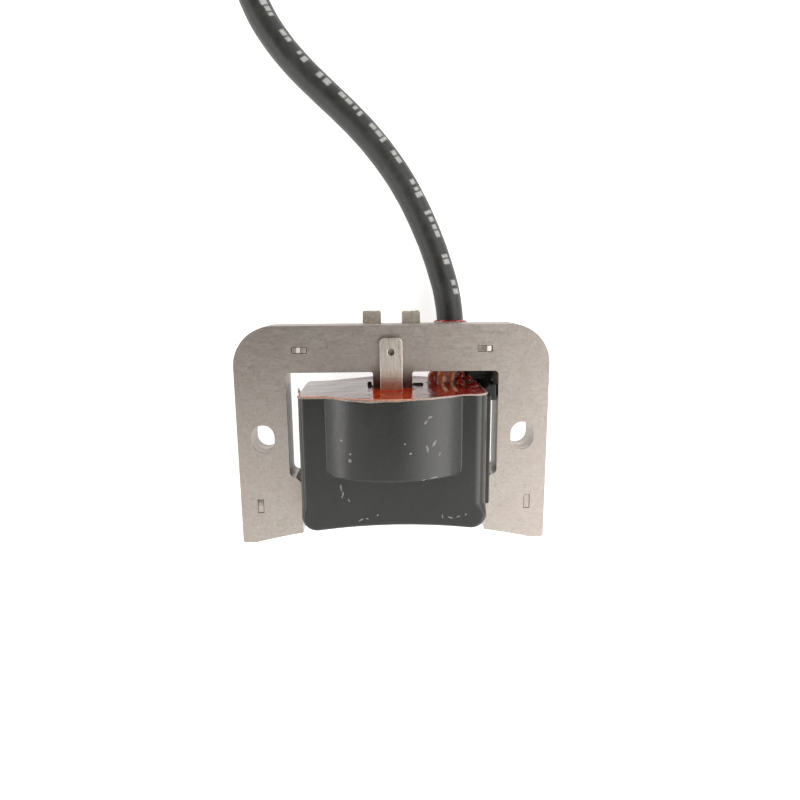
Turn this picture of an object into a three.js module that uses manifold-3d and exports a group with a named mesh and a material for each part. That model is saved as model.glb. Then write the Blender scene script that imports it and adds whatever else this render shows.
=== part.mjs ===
// Ignition coil of a small engine: a laminated E core, a potted coil case and a spark lead.
// Millimetres. Built with X across the core, Y from the flywheel side towards the top bar,
// and Z out of the front face of the core. The finished group is moved at the end, so that
// the coil lies on its back on z = 0, and the lead lies on the same surface.

import * as THREE from 'three';
import { mergeVertices } from 'three/addons/utils/BufferGeometryUtils.js';
import Module from 'manifold-3d';

const wasm = await Module();
wasm.setup();

// ---- driving dimensions ---------------------------------------------------------------

const GAP = 0.3; // clearance between neighbouring pieces
const SINK = 1; // how far a solid reaches into the one it is joined to or cut from
const FAR = 40; // beyond every face of the case
const LOW = -62; // below the bottom of the case

const core = {
  sheets: 15,
  pitch: 0.635, // one sheet and its varnish
  sheet: 0.62,
  halfWidth: 45.4,
  cornerRadius: 11.7,
  topBar: 13.4,
  windowHalfWidth: 30.6,
  centreLegHalf: 5.68,
  shoulderDepth: 44.5, // from the top edge to the bottom of the windows' upper part
  footInner: 27.3,
  poleCrownDepth: 59.9, // from the top edge to the crown of the pole arc
  poleRadius: 180,
  footDepth: 64.7, // from the top edge to the flat ends of the feet
  slotX: 38,
  slotDepth: 32.8,
  slotHalfWidth: 3.34,
  slotHalfLength: 4.14,
};
const stackHalf = (core.sheets * core.pitch) / 2;

const interlock = { length: 4.3, width: 1.8, depth: 0.45, play: 0.06, reach: 0.1 };

const caseDim = {
  halfWidth: 26.4,
  halfDepth: stackHalf + 9.2,
  cornerRadius: 3,
  leastRadius: 1, // of any inside corner
  wall: 1.6,
  rim: -18.8,
  bottomCrown: -56.6,
  bottomCornerRadius: 5,
  floor: 2.2,
  bulge: 6, // how far the crown of a bulge stands out of the flat face
  bulgeHalfWidth: 18.9,
  bulgeEnd: -41.6,
  bulgeFloor: 1.5,
  restHalfWidth: 5.4, // flat land along the crown of the rear bulge
};
const bulgeRadius = (caseDim.bulgeHalfWidth ** 2 + caseDim.bulge ** 2) / (2 * caseDim.bulge);
const bulgeCentre = caseDim.halfDepth + caseDim.bulge - bulgeRadius;
const restDepth = bulgeCentre + Math.sqrt(bulgeRadius ** 2 - caseDim.restHalfWidth ** 2);

const tunnel = {
  halfWidth: core.centreLegHalf + GAP,
  halfDepth: stackHalf + GAP,
  wall: 1,
  top: -20.5,
  bottom: caseDim.bottomCrown + 1,
};

const tower = { x: 18.5, z: -11.6, radius: 6.2, bore: 4.4, top: -1.2, bottom: -34, boreEnd: -31.5 };
const block = {
  inner: 25.4,
  outer: 30.3,
  front: 4.2,
  top: -17.2,
  bottom: -22.3,
  rearInner: 22.8, // the rear part is wider and stands higher
  rearTop: -14,
};
const rail = { outer: 28, thickness: 3, top: -20, bottom: -52.6 };

const potting = { slab: 4.4, skirt: 1.2 };

const lead = { diameter: 8.2, start: -22.2 };

// ---- materials ------------------------------------------------------------------------

const finish = (color, roughness, metalness) =>
  new THREE.MeshStandardMaterial({ color, roughness, metalness });

const steel = finish(0x8d857f, 0.45, 0.9);
const tin = finish(0xb9b4aa, 0.35, 0.9);
const clipSteel = finish(0x8f8c82, 0.5, 0.8);
const casePlastic = finish(0x3c3f3b, 0.5, 0);
const epoxy = finish(0xb0330f, 0.12, 0);
const bobbinPlastic = finish(0xd9d2bd, 0.6, 0);
const copper = finish(0xb5652e, 0.35, 0.8);
const fineCopper = finish(0x9a4a26, 0.4, 0.7);
const board = finish(0x2f6b3c, 0.5, 0);
const chipPlastic = finish(0x1b1b1d, 0.5, 0);
const capacitorBlue = finish(0x2a5f8f, 0.45, 0);
const resistorBody = finish(0xc9b48c, 0.5, 0);
const brass = finish(0xb89a4f, 0.35, 0.9);
const rubber = finish(0x2c2d2c, 0.65, 0);
const spring = finish(0xa6a8a8, 0.3, 0.9);

// ---- solids ---------------------------------------------------------------------------

function solidOf(geometry) {
  const bare = geometry.index ? geometry.toNonIndexed() : geometry.clone();
  bare.deleteAttribute('normal');
  bare.deleteAttribute('uv');
  const merged = mergeVertices(bare, 1e-5);
  const mesh = new wasm.Mesh({
    numProp: 3,
    vertProperties: new Float32Array(merged.attributes.position.array),
    triVerts: new Uint32Array(merged.index.array),
  });
  return new wasm.Manifold(mesh);
}

function geometryOf(solid) {
  const mesh = solid.getMesh();
  const geometry = new THREE.BufferGeometry();
  geometry.setAttribute('position', new THREE.BufferAttribute(mesh.vertProperties, 3));
  geometry.setIndex(new THREE.BufferAttribute(mesh.triVerts, 1));
  geometry.computeVertexNormals();
  return geometry;
}

function box(x0, x1, y0, y1, z0, z1) {
  const geometry = new THREE.BoxGeometry(x1 - x0, y1 - y0, z1 - z0);
  geometry.translate((x0 + x1) / 2, (y0 + y1) / 2, (z0 + z1) / 2);
  return solidOf(geometry);
}

// A cylinder along Y.
function upright(x, z, radius, y0, y1, sides = 24) {
  const geometry = new THREE.CylinderGeometry(radius, radius, y1 - y0, sides);
  geometry.translate(x, (y0 + y1) / 2, z);
  return solidOf(geometry);
}

function arc(cx, cy, radius, from, to, steps) {
  const points = [];
  for (let i = 0; i <= steps; i++) {
    const angle = THREE.MathUtils.degToRad(from + ((to - from) * i) / steps);
    points.push(new THREE.Vector2(cx + radius * Math.cos(angle), cy + radius * Math.sin(angle)));
  }
  return points;
}

function roundedRectangle(halfX, halfY, radius, steps = 5) {
  const x = halfX - radius;
  const y = halfY - radius;
  return [
    ...arc(x, y, radius, 0, 90, steps),
    ...arc(-x, y, radius, 90, 180, steps),
    ...arc(-x, -y, radius, 180, 270, steps),
    ...arc(x, -y, radius, 270, 360, steps),
  ];
}

// An outline in X and Y, extruded along Z.
function plate(outline, z0, z1, holes = []) {
  const shape = new THREE.Shape(outline);
  shape.holes = holes.map((hole) => new THREE.Path(hole));
  const geometry = new THREE.ExtrudeGeometry(shape, { depth: z1 - z0, bevelEnabled: false });
  geometry.translate(0, 0, z0);
  return solidOf(geometry);
}

// A plan outline in X and Z, extruded along Y.
function column(plan, y0, y1, holes = []) {
  const flip = (points) => points.map((p) => new THREE.Vector2(p.x, -p.y)).reverse();
  const shape = new THREE.Shape(flip(plan));
  shape.holes = holes.map((hole) => new THREE.Path(flip(hole)));
  const geometry = new THREE.ExtrudeGeometry(shape, { depth: y1 - y0, bevelEnabled: false });
  geometry.rotateX(-Math.PI / 2);
  geometry.translate(0, y0, 0);
  return solidOf(geometry);
}

const coil = new THREE.Group();

function add(name, shape, material) {
  const geometry = shape.isBufferGeometry ? shape : geometryOf(shape);
  const mesh = new THREE.Mesh(geometry, material);
  mesh.name = name;
  coil.add(mesh);
  return mesh;
}

// ---- laminated core -------------------------------------------------------------------

// Depth of the pole arc below the top edge, at a distance x from the middle.
function poleY(x) {
  const sagitta = core.poleRadius - Math.sqrt(core.poleRadius ** 2 - x ** 2);
  return -core.poleCrownDepth - sagitta;
}

function poleArc(fromX, toX, steps) {
  const points = [];
  for (let i = 0; i <= steps; i++) {
    const x = fromX + ((toX - fromX) * i) / steps;
    points.push(new THREE.Vector2(x, poleY(x)));
  }
  return points;
}

function landX() {
  const sagitta = core.footDepth - core.poleCrownDepth;
  return Math.sqrt(core.poleRadius ** 2 - (core.poleRadius - sagitta) ** 2);
}

function sheetOutline() {
  const corner = core.cornerRadius;
  const side = core.halfWidth;
  const inner = core.windowHalfWidth;
  const leg = core.centreLegHalf;
  const fillet = 1.2;
  const footRound = 0.8;
  const windowTop = -core.topBar;
  const shoulder = -core.shoulderDepth;
  const notchRound = (inner - core.footInner) / 2;
  const rightHalf = [
    ...arc(side - corner, -corner, corner, 90, 0, 8),
    ...arc(side - footRound, -core.footDepth + footRound, footRound, 0, -90, 2),
    ...poleArc(landX(), core.footInner, 4),
    new THREE.Vector2(core.footInner, shoulder - notchRound),
    ...arc(inner - notchRound, shoulder + notchRound, notchRound, -90, 0, 3),
    ...arc(inner - fillet, windowTop - fillet, fillet, 0, 90, 2),
    ...arc(leg + fillet / 2, windowTop - fillet / 2, fillet / 2, 90, 180, 1),
    ...poleArc(leg, 0, 1),
  ];
  const leftHalf = rightHalf.slice(0, -1).reverse().map((p) => new THREE.Vector2(-p.x, p.y));
  return [...rightHalf, ...leftHalf];
}

function slotOutline(side) {
  const x = side * core.slotX;
  const y = -core.slotDepth;
  const radius = core.slotHalfWidth;
  const straight = core.slotHalfLength - radius;
  return [
    ...arc(x, y + straight, radius, 0, 180, 8),
    ...arc(x, y - straight, radius, 180, 360, 8),
  ];
}

const interlockSites = [
  { x: -26.5, y: -7, turn: 0 },
  { x: 26.6, y: -7, turn: 0 },
  { x: -39.6, y: -53.3, turn: 90 },
  { x: 40, y: -53.3, turn: 90 },
];

// A vee-shaped interlock: its mouth is at z = 0 and its keel lies along the middle of its width.
function interlockWedge(site, shrink, z) {
  const half = interlock.length / 2 - shrink;
  const width = interlock.width - 2 * shrink;
  const vee = new THREE.Shape([
    new THREE.Vector2(-half, 0),
    new THREE.Vector2(0, -interlock.depth + shrink),
    new THREE.Vector2(half, 0),
    new THREE.Vector2(half, interlock.reach),
    new THREE.Vector2(-half, interlock.reach),
  ]);
  const geometry = new THREE.ExtrudeGeometry(vee, { depth: width, bevelEnabled: false });
  geometry.translate(0, 0, -width / 2);
  geometry.rotateX(Math.PI / 2);
  geometry.rotateZ(THREE.MathUtils.degToRad(site.turn));
  geometry.translate(site.x, site.y, z);
  return solidOf(geometry);
}

function sheetSolid(isLast) {
  const half = core.sheet / 2;
  let sheet = plate(sheetOutline(), -half, half, [slotOutline(-1), slotOutline(1)]);
  for (const site of interlockSites) {
    if (!isLast) {
      sheet = sheet.add(interlockWedge(site, interlock.play, -half));
    }
    sheet = sheet.subtract(interlockWedge(site, 0, half));
  }
  return sheet;
}

for (let i = 0; i < core.sheets; i++) {
  const number = String(i + 1).padStart(2, '0');
  const sheet = add(`lamination_${number}`, sheetSolid(i === core.sheets - 1), steel);
  sheet.position.z = stackHalf - (i + 0.5) * core.pitch;
}

// ---- coil case ------------------------------------------------------------------------

// Plan outline of a pair of bulges, front and rear, drawn in by an inset.
function barrelPlan(inset, halfWidth, steps = 10) {
  const radius = bulgeRadius - inset;
  const reach = THREE.MathUtils.radToDeg(Math.asin(halfWidth / radius));
  return [
    ...arc(0, bulgeCentre, radius, 90 - reach, 90 + reach, steps),
    ...arc(0, -bulgeCentre, radius, 270 - reach, 270 + reach, steps),
  ];
}

// The whole plan of the tub at one height range: the box and, above the ledge, the bulges.
function tubFilling(inset, bottom, top, ledge) {
  const halfWidth = caseDim.halfWidth - inset;
  const halfDepth = caseDim.halfDepth - inset;
  const radius = Math.max(caseDim.cornerRadius - inset, caseDim.leastRadius);
  const boxPart = column(roundedRectangle(halfWidth, halfDepth, radius), bottom, top);
  const bulges = column(barrelPlan(inset, caseDim.bulgeHalfWidth - inset), ledge, top);
  return boxPart.add(bulges);
}

// Front view of the case: rounded bottom corners and a bottom that follows the flywheel.
function caseSilhouette(inset, top) {
  const halfWidth = caseDim.halfWidth - inset;
  const radius = Math.max(caseDim.bottomCornerRadius - inset, caseDim.leastRadius);
  const cornerX = halfWidth - radius;
  const bottomAt = (x) => {
    const sagitta = core.poleRadius - Math.sqrt(core.poleRadius ** 2 - x ** 2);
    return caseDim.bottomCrown - sagitta + (inset > 0 ? caseDim.floor : 0);
  };
  const cornerY = bottomAt(cornerX) + radius;
  const bottom = [];
  const steps = 8;
  for (let i = 1; i < steps; i++) {
    const x = -cornerX + (2 * cornerX * i) / steps;
    bottom.push(new THREE.Vector2(x, bottomAt(x)));
  }
  return [
    new THREE.Vector2(halfWidth, top),
    new THREE.Vector2(-halfWidth, top),
    ...arc(-cornerX, cornerY, radius, 180, 270, 5),
    ...bottom,
    ...arc(cornerX, cornerY, radius, 270, 360, 5),
  ];
}

// The lead's sleeve, the block at the right shoulder and the rail that runs down from it.
function caseFittings() {
  const rear = -caseDim.halfDepth;
  const front = stackHalf + GAP;
  const { inner, outer, rearInner } = block;
  const sleeve = upright(tower.x, tower.z, tower.radius, tower.bottom, tower.top);
  const behindCore = box(rearInner, outer, block.top - SINK, block.rearTop, rear, -front);
  const belowCore = box(inner, outer, block.bottom, block.top, rear, block.front);
  const railBar = box(inner, rail.outer, rail.bottom, rail.top, front, front + rail.thickness);
  return sleeve.add(behindCore).add(belowCore).add(railBar);
}

function caseSolid() {
  const { rim, wall, bulgeEnd, bulgeFloor } = caseDim;
  const silhouette = plate(caseSilhouette(0, rim), -FAR, FAR);
  const outside = tubFilling(0, LOW, rim, bulgeEnd).intersect(silhouette);

  const cavityTop = rim + GAP;
  const hollow = plate(caseSilhouette(wall, cavityTop + SINK), -FAR, FAR);
  const cavity = tubFilling(wall, LOW, cavityTop, bulgeEnd + bulgeFloor).intersect(hollow);
  const bore = upright(tower.x, tower.z, tower.bore, tower.boreEnd, tower.top + SINK);

  const outerX = tunnel.halfWidth + tunnel.wall;
  const outerZ = tunnel.halfDepth + tunnel.wall;
  const walls = box(-outerX, outerX, tunnel.bottom, tunnel.top, -outerZ, outerZ);
  const { halfWidth, halfDepth } = tunnel;
  const legHole = box(-halfWidth, halfWidth, LOW, tunnel.top + SINK, -halfDepth, halfDepth);
  const land = box(-FAR, FAR, LOW, rim + SINK, -FAR, -restDepth);
  return outside.add(caseFittings()).subtract(cavity).subtract(bore).add(walls)
    .subtract(legHole).subtract(land);
}

add('coil_case', caseSolid(), casePlastic);

// ---- blade terminal for the stop wire -------------------------------------------------

const blade = {
  x: -0.43,
  halfWidth: 3.175,
  thickness: 0.8,
  back: stackHalf + 1.6,
  tip: -3.57,
  chamfer: 0.9,
  holeY: -7.5,
  holeRadius: 0.9,
  footTop: -20.5,
  footBottom: -22.8,
  tailX: -18.6,
  tailWidth: 1.4,
  tailEnd: -25.6,
};

function bladeOutline() {
  const left = blade.x - blade.halfWidth;
  const right = blade.x + blade.halfWidth;
  const tailRight = blade.tailX + blade.tailWidth;
  return [
    [right, blade.footBottom],
    [right, blade.tip - blade.chamfer],
    [right - blade.chamfer, blade.tip],
    [left + blade.chamfer, blade.tip],
    [left, blade.tip - blade.chamfer],
    [left, blade.footTop],
    [blade.tailX, blade.footTop],
    [blade.tailX, blade.tailEnd],
    [tailRight, blade.tailEnd],
    [tailRight, blade.footBottom],
  ].map(([x, y]) => new THREE.Vector2(x, y));
}

const bladeHole = arc(blade.x, blade.holeY, blade.holeRadius, 0, 330, 11);
const bladeFront = blade.back + blade.thickness;
add('stop_terminal', plate(bladeOutline(), blade.back, bladeFront, [bladeHole]), tin);

// ---- two-eared clip behind the core ---------------------------------------------------

const clip = {
  thickness: 1,
  shoulder: 3, // height of the slope from the ears to the stem
  earOuter: 8.65,
  earInner: 3.05,
  earTop: 3.65,
  bridgeTop: -1.2,
  bridgeBottom: -9,
  stemHalf: 4.2,
  stemBottom: -20.1,
  chamfer: 0.6,
};

function clipOutline() {
  const { earOuter, earInner, earTop, bridgeTop, bridgeBottom, stemHalf, chamfer } = clip;
  const right = [
    [stemHalf, clip.stemBottom],
    [stemHalf, bridgeBottom - clip.shoulder],
    [earOuter, bridgeBottom],
    [earOuter, earTop - chamfer],
    [earOuter - chamfer, earTop],
    [earInner + chamfer, earTop],
    [earInner, earTop - chamfer],
    [earInner, bridgeTop],
  ];
  const left = right.map(([x, y]) => [-x, y]).reverse();
  return [...right, ...left].map(([x, y]) => new THREE.Vector2(x, y));
}

const clipFace = -stackHalf - GAP;
add('core_clip', plate(clipOutline(), clipFace - clip.thickness, clipFace), clipSteel);

// ---- potting --------------------------------------------------------------------------

// Room kept around a neighbour that stands in the potting.
function room(x0, x1, y0, y1, z0, z1) {
  return box(x0 - GAP, x1 + GAP, y0, y1 + GAP, z0 - GAP, z1 + GAP);
}

function pottingSolid() {
  const { rim, wall, bulgeEnd, bulgeFloor } = caseDim;
  const inset = wall + GAP;
  const above = rim + SINK;
  const ledge = bulgeEnd + bulgeFloor + GAP;
  const hollow = plate(caseSilhouette(inset, above), -FAR, FAR).translate([0, GAP, 0]);
  const filling = tubFilling(inset, LOW, rim, ledge).intersect(hollow);
  const slabBottom = rim - potting.slab;
  const envelope = tubFilling(inset + potting.skirt, LOW, slabBottom, ledge + potting.skirt);

  const { halfWidth, halfDepth } = tunnel;
  const legHole = box(-halfWidth, halfWidth, LOW, above, -halfDepth, halfDepth);
  const sleeveX = halfWidth + tunnel.wall;
  const sleeveZ = halfDepth + tunnel.wall;
  const sleeve = room(-sleeveX, sleeveX, LOW, tunnel.top, -sleeveZ, sleeveZ);
  const { back, footTop, tailX } = blade;
  const bladeLeft = blade.x - blade.halfWidth;
  const bladeRight = blade.x + blade.halfWidth;
  const bladeSlot = room(bladeLeft, bladeRight, LOW, above, back, bladeFront);
  const footSlot = room(tailX, bladeRight, LOW, footTop, back, bladeFront);
  const stemSlot = room(
    -clip.stemHalf, clip.stemHalf, clip.stemBottom - GAP, above, clipFace - clip.thickness, clipFace,
  );
  const leadHole = upright(tower.x, tower.z, lead.diameter / 2 + GAP, tower.bottom, above);
  const towerFoot = upright(tower.x, tower.z, tower.radius + GAP, rim - GAP, above);
  return [envelope, legHole, sleeve, bladeSlot, footSlot, stemSlot, leadHole, towerFoot]
    .reduce((solid, cut) => solid.subtract(cut), filling);
}

add('epoxy_potting', pottingSolid(), epoxy);

// ---- bobbins and windings -------------------------------------------------------------

const bobbin = { holeRadius: 0.6, tubeRadius: 1, flangeRadius: 1.5, wireRadius: 2 };

const primary = {
  top: -23.6,
  bottom: -53.4,
  innerX: tunnel.halfWidth + tunnel.wall + GAP,
  innerZ: tunnel.halfDepth + tunnel.wall + GAP,
  wall: 0.9,
  flange: 1,
  flangeX: 10.8,
  flangeZ: 9.9,
  wireX: 10.4,
  wireZ: 9.5,
};

const secondary = {
  top: -23.6,
  bottom: -38.2,
  innerX: primary.flangeX + GAP,
  innerZ: primary.flangeZ + GAP,
  wall: 0.8,
  flange: 0.8,
  chambers: 5,
  halfWidth: 15.4,
  inset: 3.8, // of the flanges' bulged faces, from the face of the case
  wireInset: 4.8,
  wireHalfWidth: 14.6,
  notchX: 13,
  notchHalf: 1.6,
};

function ring(outer, innerX, innerZ, y0, y1) {
  return column(outer, y0, y1, [roundedRectangle(innerX, innerZ, bobbin.holeRadius, 1)]);
}

function primaryBobbin() {
  const { innerX, innerZ, wall, top, bottom, flange } = primary;
  const { flangeRadius, tubeRadius } = bobbin;
  const flangePlan = roundedRectangle(primary.flangeX, primary.flangeZ, flangeRadius, 2);
  const tube = roundedRectangle(innerX + wall, innerZ + wall, tubeRadius, 1);
  return ring(tube, innerX, innerZ, bottom, top)
    .add(ring(flangePlan, innerX, innerZ, top - flange, top))
    .add(ring(flangePlan, innerX, innerZ, bottom, bottom + flange));
}

function primaryWinding() {
  const bore = GAP + primary.wall;
  const plan = roundedRectangle(primary.wireX, primary.wireZ, bobbin.wireRadius, 3);
  const y0 = primary.bottom + primary.flange + GAP;
  const y1 = primary.top - primary.flange - GAP;
  return ring(plan, primary.innerX + bore, primary.innerZ + bore, y0, y1);
}

const chamberPitch = (secondary.top - secondary.bottom - secondary.flange) / secondary.chambers;

function secondaryBobbin() {
  const { innerX, innerZ, wall, top, bottom, flange, notchX, notchHalf } = secondary;
  const tube = roundedRectangle(innerX + wall, innerZ + wall, bobbin.tubeRadius, 1);
  const flangePlan = barrelPlan(secondary.inset, secondary.halfWidth, 8);
  let solid = ring(tube, innerX, innerZ, bottom, top);
  for (let i = 0; i <= secondary.chambers; i++) {
    const y = bottom + i * chamberPitch;
    solid = solid.add(ring(flangePlan, innerX, innerZ, y, y + flange));
  }
  const firstInner = bottom + flange + GAP;
  const lastInner = top - flange - GAP;
  const notch = box(
    notchX - GAP, secondary.halfWidth + SINK, firstInner, lastInner, -notchHalf - GAP, notchHalf + GAP,
  );
  return solid.subtract(notch);
}

// The winding fills every chamber, and one crossing wire in the notches joins the chambers.
function secondaryWinding() {
  const { innerX, innerZ, wall, bottom, flange, notchX, notchHalf } = secondary;
  const plan = barrelPlan(secondary.wireInset, secondary.wireHalfWidth, 8);
  const coils = [];
  for (let i = 0; i < secondary.chambers; i++) {
    const y0 = bottom + i * chamberPitch + flange + GAP;
    const y1 = bottom + (i + 1) * chamberPitch - GAP;
    coils.push(ring(plan, innerX + wall + GAP, innerZ + wall + GAP, y0, y1));
  }
  const crossing = box(
    notchX, secondary.wireHalfWidth, bottom + flange + 2 * GAP, secondary.top - flange - 2 * GAP,
    -notchHalf, notchHalf,
  );
  return coils.reduce((solid, part) => solid.add(part), crossing);
}

add('primary_bobbin', primaryBobbin(), bobbinPlastic);
add('primary_winding', primaryWinding(), copper);
add('secondary_bobbin', secondaryBobbin(), bobbinPlastic);
add('secondary_winding', secondaryWinding(), fineCopper);

// ---- control board and its parts ------------------------------------------------------

const pcb = { x: -18.8, thickness: 1, halfDepth: 9.6, top: -26, bottom: -49.5 };
const partsFace = pcb.x - GAP; // the components stand on the side that faces the case wall

add(
  'control_board',
  box(pcb.x, pcb.x + pcb.thickness, pcb.bottom, pcb.top, -pcb.halfDepth, pcb.halfDepth),
  board,
);

// Moulded components: how far each stands off the board, and its span in Y and in Z.
const mouldedParts = [
  { name: 'power_transistor', height: 3.4, y: [-37, -28], z: [-8.6, 1], material: chipPlastic },
  { name: 'driver_chip', height: 1.6, y: [-46.5, -41.5], z: [-8.2, -2.2], material: chipPlastic },
  { name: 'capacitor', height: 3, y: [-35, -28], z: [3, 8.8], material: capacitorBlue },
];
for (const { name, height, y, z, material } of mouldedParts) {
  add(name, box(partsFace - height, partsFace, y[0], y[1], z[0], z[1]), material);
}

// Axial components: cylinders that lie on the board along Y.
const axialParts = [
  { name: 'resistor', radius: 1.3, length: 6.4, y: -42, z: 2.4, material: resistorBody },
  { name: 'diode', radius: 1.3, length: 5.2, y: -42, z: 7, material: chipPlastic },
];
for (const { name, radius, length, y, z, material } of axialParts) {
  const geometry = new THREE.CylinderGeometry(radius, radius, length, 16);
  geometry.translate(partsFace - radius, y, z);
  add(name, geometry, material);
}

// ---- high-tension contact -------------------------------------------------------------

const contact = {
  radius: 3.2,
  plate: 0.8,
  top: lead.start - GAP,
  pinRadius: 0.9,
  pinTop: lead.start - 2 * GAP,
  pinEnd: -31,
};

add(
  'high_tension_contact',
  upright(tower.x, tower.z, contact.radius, contact.top - contact.plate, contact.top, 20)
    .add(upright(tower.x, tower.z, contact.pinRadius, contact.pinEnd, contact.pinTop, 12)),
  brass,
);

// ---- spark lead and its boot ----------------------------------------------------------

const floorZ = -restDepth;
const lying = floorZ + lead.diameter / 2; // height of the lead's middle where it lies

// The route: up through the tower, down to the surface, then in one long curve to the boot.
const route = [
  [tower.x, lead.start, tower.z],
  [tower.x, -15, tower.z],
  [tower.x, -8.5, tower.z],
  [tower.x - 0.1, -2.5, tower.z],
  [18, 3.4, tower.z - 0.4],
  [17.05, 9.4, tower.z - 1.1],
  [15.4, 15.6, tower.z - 2.1],
  [13.3, 22, tower.z - 3.05],
  [10.6, 28.6, tower.z - 3.65],
  [7.2, 35.7, lying],
  [3.1, 42.7, lying],
  [-1.8, 49.5, lying],
  [-7.4, 56, lying],
  [-13.4, 61.9, lying],
  [-19.8, 67.7, lying],
  [-26, 73.6, lying],
  [-31.5, 79.9, lying],
  [-36.1, 86.9, lying],
  [-39.3, 94.7, lying],
  [-40.7, 102.9, lying],
  [-40.4, 111.3, lying],
  [-38.3, 119.4, lying],
  [-34.6, 126.9, lying],
  [-29.4, 133.5, lying],
  [-22.9, 138.8, lying],
  [-15.5, 142.6, lying],
  [-7.4, 144.8, lying],
  [1, 145.7, lying],
  [13, 145.8, lying],
  [25, 145.8, lying + 0.4],
  [35, 145.8, lying + 1.4],
  [45, 145.8, lying + 2.7],
  [55, 145.8, lying + 3.7],
  [62, 145.8, lying + 4],
  [69, 145.8, lying + 4],
];

const routeCurve = new THREE.CatmullRomCurve3(
  route.map((point) => new THREE.Vector3(...point)), false, 'centripetal',
);

function leadGeometry() {
  const section = new THREE.Shape(arc(0, 0, lead.diameter / 2, 0, 324, 9));
  return new THREE.ExtrudeGeometry(section, { steps: 40, extrudePath: routeCurve });
}

add('spark_lead', leadGeometry(), rubber);

const boot = {
  length: 46,
  faceRadius: 5.2,
  neckRadius: 6.6,
  neckStart: 1.6,
  neckEnd: 9,
  waistRadius: 7.5,
  waistStart: 14,
  collarRadius: 8.1,
  collar: 4,
  collarSlope: 1,
  bore: 5.6,
  boreDepth: 30,
  sides: 20,
};
const boreFloor = boot.length - boot.boreDepth;
const bootStart = new THREE.Vector3(...route.at(-1));

// A body turned about the boot's axis, from pairs of a radius and a distance along the boot.
function turned(profile) {
  const points = profile.map(([radius, along]) => new THREE.Vector2(radius, along));
  const geometry = new THREE.LatheGeometry(points, boot.sides);
  geometry.rotateZ(-Math.PI / 2);
  geometry.translate(bootStart.x, bootStart.y, bootStart.z);
  return geometry;
}

add(
  'plug_boot',
  turned([
    [0, GAP],
    [boot.faceRadius, GAP],
    [boot.neckRadius, boot.neckStart],
    [boot.neckRadius, boot.neckEnd],
    [boot.waistRadius, boot.waistStart],
    [boot.waistRadius, boot.length - boot.collar - boot.collarSlope],
    [boot.collarRadius, boot.length - boot.collar],
    [boot.collarRadius, boot.length],
    [boot.bore, boot.length],
    [boot.bore, boreFloor],
    [0, boreFloor],
  ]),
  rubber,
);

const cup = { radius: 5, bore: 4.2, wall: 0.8, depth: 8.7 };
const cupStart = boreFloor + GAP;

add(
  'plug_terminal',
  turned([
    [0, cupStart],
    [cup.radius, cupStart],
    [cup.radius, cupStart + cup.depth],
    [cup.bore, cupStart + cup.depth],
    [cup.bore, cupStart + cup.wall],
    [0, cupStart + cup.wall],
  ]),
  spring,
);

// ---- place ----------------------------------------------------------------------------

// The origin is the middle of the coil's footprint, on the surface it lies on.
coil.position.set(0, (core.footDepth - clip.earTop) / 2, restDepth);

export default coil;
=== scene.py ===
import itertools
import math

import bmesh
import bpy
import numpy as np
from mathutils import Matrix, Vector


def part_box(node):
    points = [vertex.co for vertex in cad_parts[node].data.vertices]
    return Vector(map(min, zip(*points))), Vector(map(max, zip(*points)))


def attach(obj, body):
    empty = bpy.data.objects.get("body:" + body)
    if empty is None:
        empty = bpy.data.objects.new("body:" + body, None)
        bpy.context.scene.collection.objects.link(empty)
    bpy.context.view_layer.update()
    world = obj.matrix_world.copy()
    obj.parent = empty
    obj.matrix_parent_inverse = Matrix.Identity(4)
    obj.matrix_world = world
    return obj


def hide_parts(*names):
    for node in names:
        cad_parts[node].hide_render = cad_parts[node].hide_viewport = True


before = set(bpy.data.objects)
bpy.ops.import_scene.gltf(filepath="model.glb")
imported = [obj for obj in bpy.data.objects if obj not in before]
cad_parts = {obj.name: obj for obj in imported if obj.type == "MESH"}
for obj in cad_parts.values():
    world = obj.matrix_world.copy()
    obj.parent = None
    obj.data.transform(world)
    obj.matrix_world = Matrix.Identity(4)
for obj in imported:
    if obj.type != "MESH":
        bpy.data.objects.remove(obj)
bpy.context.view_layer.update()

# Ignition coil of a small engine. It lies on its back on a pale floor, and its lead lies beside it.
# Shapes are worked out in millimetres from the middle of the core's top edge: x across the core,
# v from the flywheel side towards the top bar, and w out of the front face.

MM = 0.001
scene = bpy.context.scene

front_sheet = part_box("lamination_01")
rear_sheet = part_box("lamination_15")
STACK_TOP = front_sheet[1].y
STACK_MIDDLE = (front_sheet[1].z + rear_sheet[0].z) / 2
STACK_HALF = (front_sheet[1].z - rear_sheet[0].z) / 2 / MM
SHEETS = 15
FLOOR_W = -STACK_MIDDLE / MM  # the surface that everything lies on


def row_points(points):
    """Points in metres in the row frame, from millimetres in x, v and w."""
    return np.asarray(points, float) * MM + (0, STACK_TOP, STACK_MIDDLE)


def row_point(x, v, w):
    return Vector(row_points((x, v, w)))


# ---- camera --------------------------------------------------------------------------

CAMERA_PLACE = (-3.1835, 10.8029, 173.3502)
CAMERA_TURN = math.radians(-1.7771)
CAMERA_TILT = math.radians(-10.9010)
CAMERA_ROLL = math.radians(-0.4561)
SENSOR = 36
LENS = 26.6756

camera_data = bpy.data.cameras.new("camera")
camera_data.sensor_width = SENSOR
camera_data.lens = LENS
camera_data.clip_start = 0.005
camera = bpy.data.objects.new("camera", camera_data)
camera.matrix_world = (
    Matrix.Translation(row_point(*CAMERA_PLACE))
    @ Matrix.Rotation(CAMERA_TURN, 4, "Y")
    @ Matrix.Rotation(CAMERA_TILT, 4, "X")
    @ Matrix.Rotation(CAMERA_ROLL, 4, "Z")
)
scene.collection.objects.link(camera)
scene.camera = camera


# ---- mesh helpers --------------------------------------------------------------------


def add_object(name, mesh):
    obj = bpy.data.objects.new(name, mesh)
    scene.collection.objects.link(obj)
    return obj


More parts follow.
